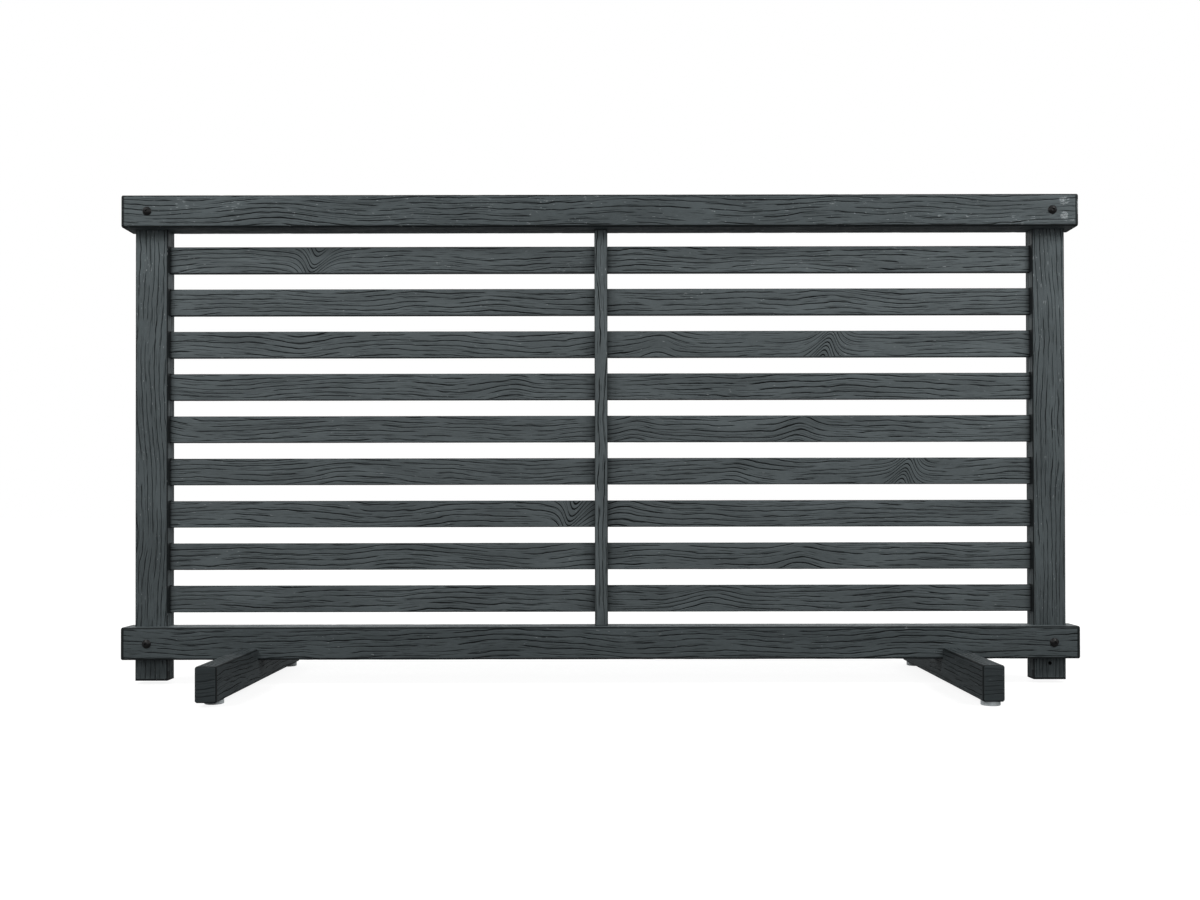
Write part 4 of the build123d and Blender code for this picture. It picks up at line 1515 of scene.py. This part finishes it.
@dataclass
class Pads:
    """Round rubber pads under the feet, turned from one outline."""

    edge: float = 1.0 * MM
    bevel: float = 0.3 * MM
    groove: float = 0.5 * MM
    head_bore: float = 6.0 * MM
    seat: float = 4.5 * MM
    sides: int = 96

    def build(self, shop: Workshop) -> None:
        """Builds a pad at each pad node."""
        for side in ("left", "right"):
            for end in ("front", "rear"):
                node = f"pad_{side}_{end}"
                low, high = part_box(node)
                piece = self._turned(f"{node}_puck", (low + high) / 2, low.z, high.z, (high.x - low.x) / 2)
                piece.data.materials.append(shop.materials[Slot.PAD])
                shop.settle(piece, Slot.PAD, node)

    def _outline(self, height: float, radius: float) -> list[tuple[float, float]]:
        """Section of a pad as (radius, height), from its bore round its foot and side to its top."""
        edge, bevel, groove, mouth = self.edge, self.bevel, self.groove, self.edge / 3
        waist = height / 2
        return [
            (Holes.screw, self.seat), (self.head_bore, self.seat), (self.head_bore, mouth),
            (self.head_bore + mouth, 0.0), (radius - edge, 0.0), (radius - bevel, bevel), (radius, edge),
            (radius, waist - groove), (radius - groove, waist), (radius, waist + groove),
            (radius, height - bevel), (radius - bevel, height), (Holes.screw, height),
        ]

    def _turned(self, name: str, middle: Vector, base: float, top: float, radius: float) -> bpy.types.Object:
        """Turns the outline about an upright axis."""
        mesh = bmesh.new()
        rings = []
        for out, up in self._outline(top - base, radius):
            ring = []
            for step in range(self.sides):
                angle = 2 * math.pi * step / self.sides
                spot = (middle.x + out * math.cos(angle), middle.y + out * math.sin(angle), base + up)
                ring.append(mesh.verts.new(spot))
            rings.append(ring)
        for number, ring in enumerate(rings):
            after = rings[(number + 1) % len(rings)]
            for step in range(self.sides):
                nxt = (step + 1) % self.sides
                mesh.faces.new((ring[step], ring[nxt], after[nxt], after[step]))
        bmesh.ops.recalc_face_normals(mesh, faces=mesh.faces)
        made = new_object(name)
        mesh.to_mesh(made.data)
        mesh.free()
        return made


@dataclass
class InnerPieces:
    """Pieces whose CAD shape is right as it stands, most of them held inside."""

    slots = {
        Slot.ALUMINIUM: ("stiffener_top", "stiffener_bottom"),
        Slot.CORE: ("post_spacers", "foot_block_left", "foot_block_right"),
        Slot.ZINC_STEEL: ("post_bolt_plates", "foot_bolt_plates", "foot_bolts", "pad_screws"),
        Slot.CAP: ("post_plug_left", "post_plug_right"),
    }

    def dress(self, shop: Workshop) -> None:
        """Gives each node its material."""
        for slot, nodes in self.slots.items():
            for node in nodes:
                piece = frame["nodes"][node]
                piece.data.materials.clear()
                piece.data.materials.append(shop.materials[slot])
                LOG.info("%s: kept, finish %s", node, slot.value)


# Studio


@dataclass(frozen=True)
class Lamp:
    """Square soft lamp: its place, the point it looks at, its side and its power in watts."""

    name: str
    place: tuple[float, float, float]
    target: tuple[float, float, float]
    size: float
    power: float

    def build(self) -> None:
        """Adds the lamp to the scene."""
        data = bpy.data.lights.new(self.name, "AREA")
        data.shape = "SQUARE"
        data.size = self.size
        data.energy = self.power
        lamp = bpy.data.objects.new(self.name, data)
        lamp.location = self.place
        sight = Vector(self.target) - Vector(self.place)
        lamp.rotation_euler = sight.to_track_quat("-Z", "Y").to_euler()
        bpy.context.scene.collection.objects.link(lamp)


LAMPS = (
    Lamp("key_left", (-1.65, -0.95, 1.85), (-0.85, 0.0, 0.85), 0.7, 22.0),
    Lamp("back_left", (-1.4, 2.4, 1.9), (-0.85, 0.0, 0.85), 1.4, 26.0),
    Lamp("key_right", (1.65, -0.95, 1.85), (0.85, 0.0, 0.85), 0.7, 25.0),
    Lamp("back_right", (1.4, 2.4, 1.9), (0.85, 0.0, 0.85), 1.4, 26.0),
    Lamp("front_fill", (0.0, -3.2, 1.6), (0.0, 0.0, 0.5), 2.2, 26.0),
)


@dataclass
class Studio:
    """Floor, lamps, background and camera."""

    white: Colour = colour(255, 255, 255)
    ambient: float = 0.22
    floor_half: float = 30.0
    floor_glow: float = 0.88
    floor_mirror: float = 0.25
    floor_clear: tuple[float, float] = (1.0, 2.4)
    floor_grain: float = 4 * MM
    floor_colour: Colour = (0.22, 0.22, 0.22, 1.0)
    floor_fleck: float = 0.97
    lens: float = 35.48
    shift_x: float = -0.0059
    shift_y: float = 0.0383
    camera_place: tuple[float, float, float] = (0.0135, -2.3488, 0.3535)
    pitch: float = math.radians(0.43)
    roll: float = math.radians(-0.10)
    clip_end: float = 100.0

    def build(self) -> None:
        """Builds the studio."""
        self._world()
        self._floor()
        for lamp in LAMPS:
            lamp.build()
        self._camera()
        bpy.context.scene.view_settings.view_transform = "Standard"

    def _sees(self, g: Graph, mirrored: float) -> Wire:
        """1 for rays straight to the camera or let through, and a share for mirrored rays."""
        rays = g.node("ShaderNodeLightPath").outputs
        seen = Wire(g, rays["Is Camera Ray"]).math("MAXIMUM", Wire(g, rays["Is Transmission Ray"]))
        return seen.math("MAXIMUM", Wire(g, rays["Is Glossy Ray"]) * mirrored)

    def _world(self) -> None:
        """White background that lights the object only at the ambient level."""
        world = bpy.data.worlds.new("studio")
        bpy.context.scene.world = world
        world.use_nodes = True
        g = Graph(world.node_tree)
        g.tree.nodes.clear()
        strength = self._sees(g, 1.0) * (1.0 - self.ambient) + self.ambient
        light = g.node("ShaderNodeBackground", {"Color": self.white, "Strength": strength})
        output = g.node("ShaderNodeOutputWorld")
        g.tree.links.new(light.outputs["Background"], output.inputs["Surface"])

    def _floor(self) -> None:
        """Wide pale floor that reads as white and keeps the panel's shadow."""
        half = self.floor_half
        corners = [(-half, -half, 0.0), (half, -half, 0.0), (half, half, 0.0), (-half, half, 0.0)]
        floor = new_object("floor")
        floor.data.from_pydata(corners, [], [(0, 1, 2, 3)])
        g = ShaderTree("floor_paper")
        x, y, z = g.place().parts()
        grain = g.noise(*(part / self.floor_grain for part in (x, y, z)))
        away = (x * x + y * y).math("SQRT").ramp(*self.floor_clear)
        tint = g.mix(grain, self.floor_colour, scaled(self.floor_colour, self.floor_fleck))
        glow = self._sees(g, self.floor_mirror) * (away * (1.0 - self.floor_glow) + self.floor_glow)
        floor.data.materials.append(g.dress(
            Base_Color=tint, Roughness=1.0, Specular_IOR_Level=0.0,
            Emission_Color=self.white, Emission_Strength=glow,
        ))

    def _camera(self) -> None:
        """Camera at the photograph's place and angle."""
        data = bpy.data.cameras.new("camera")
        data.lens = self.lens
        data.shift_x = self.shift_x
        data.shift_y = self.shift_y
        data.clip_end = self.clip_end
        camera = bpy.data.objects.new("camera", data)
        camera.location = self.camera_place
        upright = Euler((math.pi / 2 + self.pitch, 0.0, 0.0)).to_matrix()
        camera.rotation_euler = (upright @ Euler((0.0, 0.0, self.roll)).to_matrix()).to_euler()
        bpy.context.scene.collection.objects.link(camera)
        bpy.context.scene.camera = camera


def write_sizes() -> None:
    """Updates the view layer."""
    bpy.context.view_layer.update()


def main() -> None:
    """Builds the panel's looks and the studio around it."""
    logging.basicConfig(level=logging.INFO, format="%(name)s %(message)s")
    effects = Effects()
    shop = Workshop(EmbossTree(), {finish.slot: finish.material(effects) for finish in finishes()})
    for part in (Rails(), Posts(), Slats(), Stile(), Feet(), EndCaps(), Bolts(), StileScrews(), Pads()):
        part.build(shop)
    InnerPieces().dress(shop)
    Studio().build()
    write_sizes()


if __name__ == "__main__":
    main()
